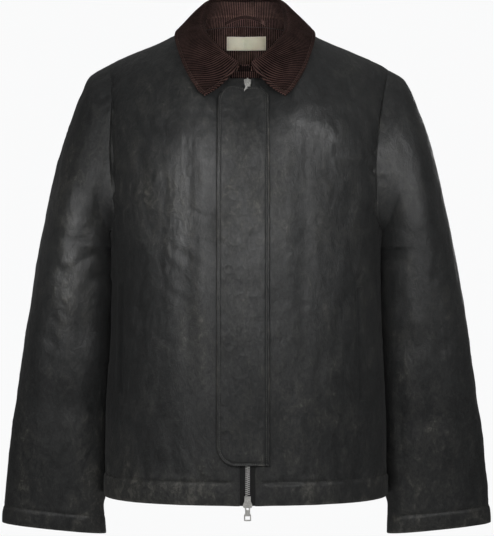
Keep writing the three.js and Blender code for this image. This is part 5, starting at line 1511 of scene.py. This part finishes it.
def storm_flap():
    f = FLAP
    nI = 56
    quarter = np.linspace(0, math.pi / 2, 16)
    zs = np.concatenate([f["bottom"] + f["bottom_corner"] * (1 - np.cos(quarter)),
                         np.linspace(f["bottom"] + f["bottom_corner"], f["top"] - f["top_corner"], 300)[1:-1],
                         (f["top"] - f["top_corner"] * (1 - np.cos(quarter)))[::-1]])
    low = np.clip((f["bottom"] + f["bottom_corner"] - zs) / f["bottom_corner"], 0, 1)
    high = np.clip((zs - f["top"] + f["top_corner"]) / f["top_corner"], 0, 1)
    right = f["right"] + f["bottom_corner"] * (1 - np.sqrt(1 - low ** 2)) * 0.98 + f["top_corner"] * (1 - np.sqrt(1 - high ** 2)) * 0.98
    left = f["left"] - f["cut"] * np.clip((zs - f["top"] + 12) / 12, 0, 1)
    e = np.linspace(0, 1, nI)
    e = e - 0.06 * np.sin(2 * math.pi * e)
    x = right[:, None] + (left - right)[:, None] * e[None]
    z = zs[:, None] + 0 * x
    lift = f["lift"] * np.exp(-((z - f["top"]) / 26) ** 2)
    P = front_at(x, z, f["proud"] + lift)
    to_right, to_left = x - right[:, None], left[:, None] - x
    to_low, to_top = z - f["bottom"], f["top"] - z
    # distances from the rounded corners
    cx, cz = f["right"] + f["bottom_corner"], f["bottom"] + f["bottom_corner"]
    corner = np.where((x < cx) & (z < cz), f["bottom_corner"] - np.hypot(x - cx, z - cz), 1e9)
    d_edge = np.minimum(np.minimum(x - f["right"], to_low), corner)
    h, relief = cloth_relief(P, np.ones(P.shape[:2]))
    s1, s2 = np.abs(d_edge - 3.3), np.abs(to_left - 4.6)
    s3, s4 = np.abs(to_low - 2.4), np.abs(to_top - 2.4)
    edge = np.minimum(d_edge, to_left)
    h = 0.4 * (h - relief) + 0.75 * relief + 0.5 * (crinkle(P, (17, 17, 23), 11, 1.7) - 0.3) * ramp(edge, 3, 12)
    quilt = np.sin(z / 20.5 * 2 * math.pi + 1.2 * noise(P, (30, 30, 30), 2))
    h = h + 0.28 * quilt * np.exp(-((d_edge - 6.0) / 5.0) ** 2) * ramp(to_low, 18, 60)
    h = h + 0.12 * np.sin(z / 15.0 * 2 * math.pi + 2.2 * noise(P, (40, 40, 40), 1)) * np.exp(-((to_left - 5) / 5.0) ** 2)
    h = h + topstitch(s1, 0.9, 1.3) + topstitch(s2, 1.35, 1.5) + topstitch(s4, 0.5, 1.5)
    h = h + 0.4 * np.exp(-((to_left - 1.8) / 1.2) ** 2) - 0.9 * np.exp(-(to_left / 1.3) ** 2)
    # where the press studs beneath have marked the cloth
    u, v = screen(P)
    for px, py, depth in ((226, 113, 0.5), (229, 191, 0.55), (229, 269, 0.85), (229, 347, 0.55), (226, 435, 0.6)):
        rho = np.hypot(u - px, v - py) * 1.39
        h = h + depth * (0.8 * np.exp(-((rho - 6.2) / 1.3) ** 2) - 0.6 * np.exp(-(rho / 4.2) ** 2) + 0.35 * np.exp(-(rho / 12) ** 2))
    # soft long hollows between the studs
    h = h + 0.8 * np.exp(-((x + 4 + 5 * np.sin(z / 90)) / 12) ** 2) * np.sin(z / 57.0)
    N = grid_normals(P, False, FORWARD)
    Q = P + N * h[..., None]
    # edges paler from wear; painted shade along both topstitch grooves, and a painted highlight on the raised strip
    # beside the sewn edge
    wear = wear_and_shade_lines(relief, (edge, 1.6, 0.22), (s1, 1.2, -0.12), (s2, 1.5, -0.3)) + 0.1 * np.exp(-((to_left - 1.6) / 1.2) ** 2) + 0.04
    obj = shell("storm_flap_cloth", Q, FLAP_CLOTH - 0.3, FORWARD, WAXED, rim=0.5, values={"wear": wear, "scuff": scuffs(Q), "wax": wax(Q)})
    finish_piece(obj, ["storm_flap"])
    cols = np.arange(nI)
    lines = []
    d_all = np.minimum(x - f["right"], np.where(z < cz, corner, 1e9))
    pts, nor = [], []
    for j in range(len(zs)):
        row = np.where(z[j] < cz, np.minimum(x[j] - f["right"], corner[j]), x[j] - right[j])
        if row.max() < 3.3 or to_low[j, 0] < 4.5:
            continue
        i = np.interp(3.3, np.maximum.accumulate(row), cols)
        pts.append(sample(Q, np.array(float(j)), np.array(i)))
        nor.append(N[j, int(i)])
    lines.append((np.array(pts), np.array(nor)))
    pts, nor = [], []
    for j in range(3, len(zs) - 3):
        i = np.interp(-4.6, -to_left[j], cols)
        pts.append(sample(Q, np.array(float(j)), np.array(i)))
        nor.append(N[j, int(i)])
    lines.append((np.array(pts), np.array(nor)))
    for zz, x0, x1 in ((f["bottom"] + 2.6, -16, 25), (f["top"] - 2.6, -17, 18)):
        xs = np.linspace(x0, x1, 40)
        j = np.interp(zz, zs, np.arange(len(zs)))
        i = np.array([np.interp(a, sample(x[..., None], np.full(nI, j), cols.astype(float))[:, 0], cols) for a in xs])
        lines.append((sample(Q, np.full(40, j), i), sample(N, np.full(40, j), i)))
    stitch_mesh("stitches_flap", lines, THREAD_GREY, 3.0, 2.2, 0.3)
    return Q


FLAP_FACE = storm_flap()


# ------------------------------------------------------------------ pocket welts
def welt(name, side, top, bottom, x_top, x_bottom, width):
    nJ, nI = 90, 16
    z = np.linspace(bottom, top, nJ)[:, None] + np.zeros((1, nI))
    f = (z - bottom) / (top - bottom)
    e = np.linspace(0, 1, nI)[None] + 0 * z
    x = side * (mix(x_bottom, x_top, f) + width * e)
    ends = np.minimum(z - bottom, top - z)
    # thin at its seam and at both ends, with a rolled opening edge
    out = -1.2 + 1.55 * ramp(e * width, 0, 6.0) * (1 - ramp(e * width, width - 6, width)) * ramp(ends, 0, 14)
    P = front_at(x, z, out)
    h, relief = cloth_relief(P, np.ones(P.shape[:2]))
    P = front_at(x, z, out + 0.16 * h + 0.2 * np.sin(z / 6.3) * np.exp(-((e * width - 4.5) / 3) ** 2))
    # painted shade: darker along the welt's opening edge
    wear = wear_and_shade_lines(relief, (e * width, 4.0, -0.5))
    obj = shell("cloth_" + name, P, 1.3, FORWARD, WAXED, rim=0.45, values={"wear": wear, "wax": wax(P) * ramp(e * width, 2, 9)})
    finish_piece(obj, [name])
    N = grid_normals(P, False, FORWARD)
    i = (nI - 1) * 5 / width
    j = np.arange(3, nJ - 3, dtype=float)
    lines = [(sample(P, j, np.full(len(j), i)), sample(N, j, np.full(len(j), i)))]
    tacks = []
    for jj in (2.5, nJ - 3.5):
        ii = np.linspace(0.6, nI - 4, 30)
        tacks.append((sample(P, np.full(30, jj), ii), sample(N, np.full(30, jj), ii)))
    return lines, tacks


lines_l, tacks_l = welt("pocket_welt_left", 1, -369, -541, 156, 160.5, 15)
lines_r, tacks_r = welt("pocket_welt_right", -1, -362, -534, 176, 178, 13)
stitch_mesh("bar_tacks", tacks_l + tacks_r, THREAD, 0.9, 1.1, 0.3)

stitch_mesh("stitches_hem_and_cuffs", stitch_lines, THREAD, 3.4, 2.6, 0.32)
stitch_mesh("stitches_collar", [(collar_line, collar_normals)], THREAD_BROWN, 3.0, 2.2, 0.3)

# ------------------------------------------------------------------ floor and light
# The floor lies as far below as it does under somebody who wears the jacket.
FLOOR_Z = -1560.0
floor_mesh = mesh_of("floor", np.array([(-4000, -4000, FLOOR_Z), (4000, -4000, FLOOR_Z), (4000, 4000, FLOOR_Z), (-4000, 4000, FLOOR_Z)], float), [(0, 1, 2, 3)], False)
floor_mat, nt, b = nodes_of("floor_pale")
co = nt.nodes.new("ShaderNodeTexCoord").outputs["Object"]
nt.links.new(colours(nt, noise_tex(nt, co, 2.0, 2, 0.5), [(0.3, lin(243, 243, 243)), (0.7, lin(247, 247, 247))]), b.inputs["Base Color"])
b.inputs["Roughness"].default_value = 0.9
b.inputs["Specular IOR Level"].default_value = 0.1
b.inputs["Emission Color"].default_value = (1, 1, 1, 1)
seen = nt.nodes.new("ShaderNodeLightPath").outputs["Is Camera Ray"]
nt.links.new(spread(nt, seen, 0, 1, 0.0, 0.8), b.inputs["Emission Strength"])
floor = link(floor_mesh, "floor", floor_mat)

world = bpy.data.worlds.new("studio")
bpy.context.scene.world = world
world.use_nodes = True
wn = world.node_tree
bg = next(n for n in wn.nodes if n.type == "BACKGROUND")
bg.inputs["Color"].default_value = (0.955, 0.957, 0.96, 1)
path = wn.nodes.new("ShaderNodeLightPath")
amount = wn.nodes.new("ShaderNodeMapRange")
wn.links.new(path.outputs["Is Camera Ray"], amount.inputs[0])
amount.inputs[3].default_value = 0.12
amount.inputs[4].default_value = 1.0
wn.links.new(amount.outputs[0], bg.inputs["Strength"])


def area(name, location, target, size, power, colour=(1, 1, 1)):
    data = bpy.data.lights.new(name, "AREA")
    data.shape = "RECTANGLE"
    data.size, data.size_y = size
    data.energy = power
    data.color = colour
    o = bpy.data.objects.new(name, data)
    o.location = location
    from mathutils import Vector
    o.rotation_mode = "QUATERNION"
    o.rotation_quaternion = (Vector(target) - Vector(location)).to_track_quat("-Z", "Y")
    bpy.context.scene.collection.objects.link(o)
    return o


area("key", (0.08, -1.05, -0.12), (0.03, 0, -0.22), (0.85, 0.36), 4.1)
area("low_left", (-0.46, -1.1, -0.32), (-0.28, 0, -0.32), (0.3, 0.3), 2.0)
area("chest", (0.60, -0.95, 0.10), (0.14, -0.1, -0.14), (0.25, 0.25), 1.5)
area("fill", (0.2, -2.9, 0.3), (0, 0, -0.3), (1.8, 1.4), 1.0)
neck = area("neck", (0.0, -0.85, 0.12), (0, 0.05, -0.008), (0.05, 0.05), 0.012)
neck.data.spread = math.radians(9)
area("overhead", (0, 0.2, 2.2), (0, 0, -0.3), (3.0, 2.4), 3.6)
area("behind", (0.35, 1.9, -0.1), (0, 0.1, -0.32), (1.4, 0.7), 10)
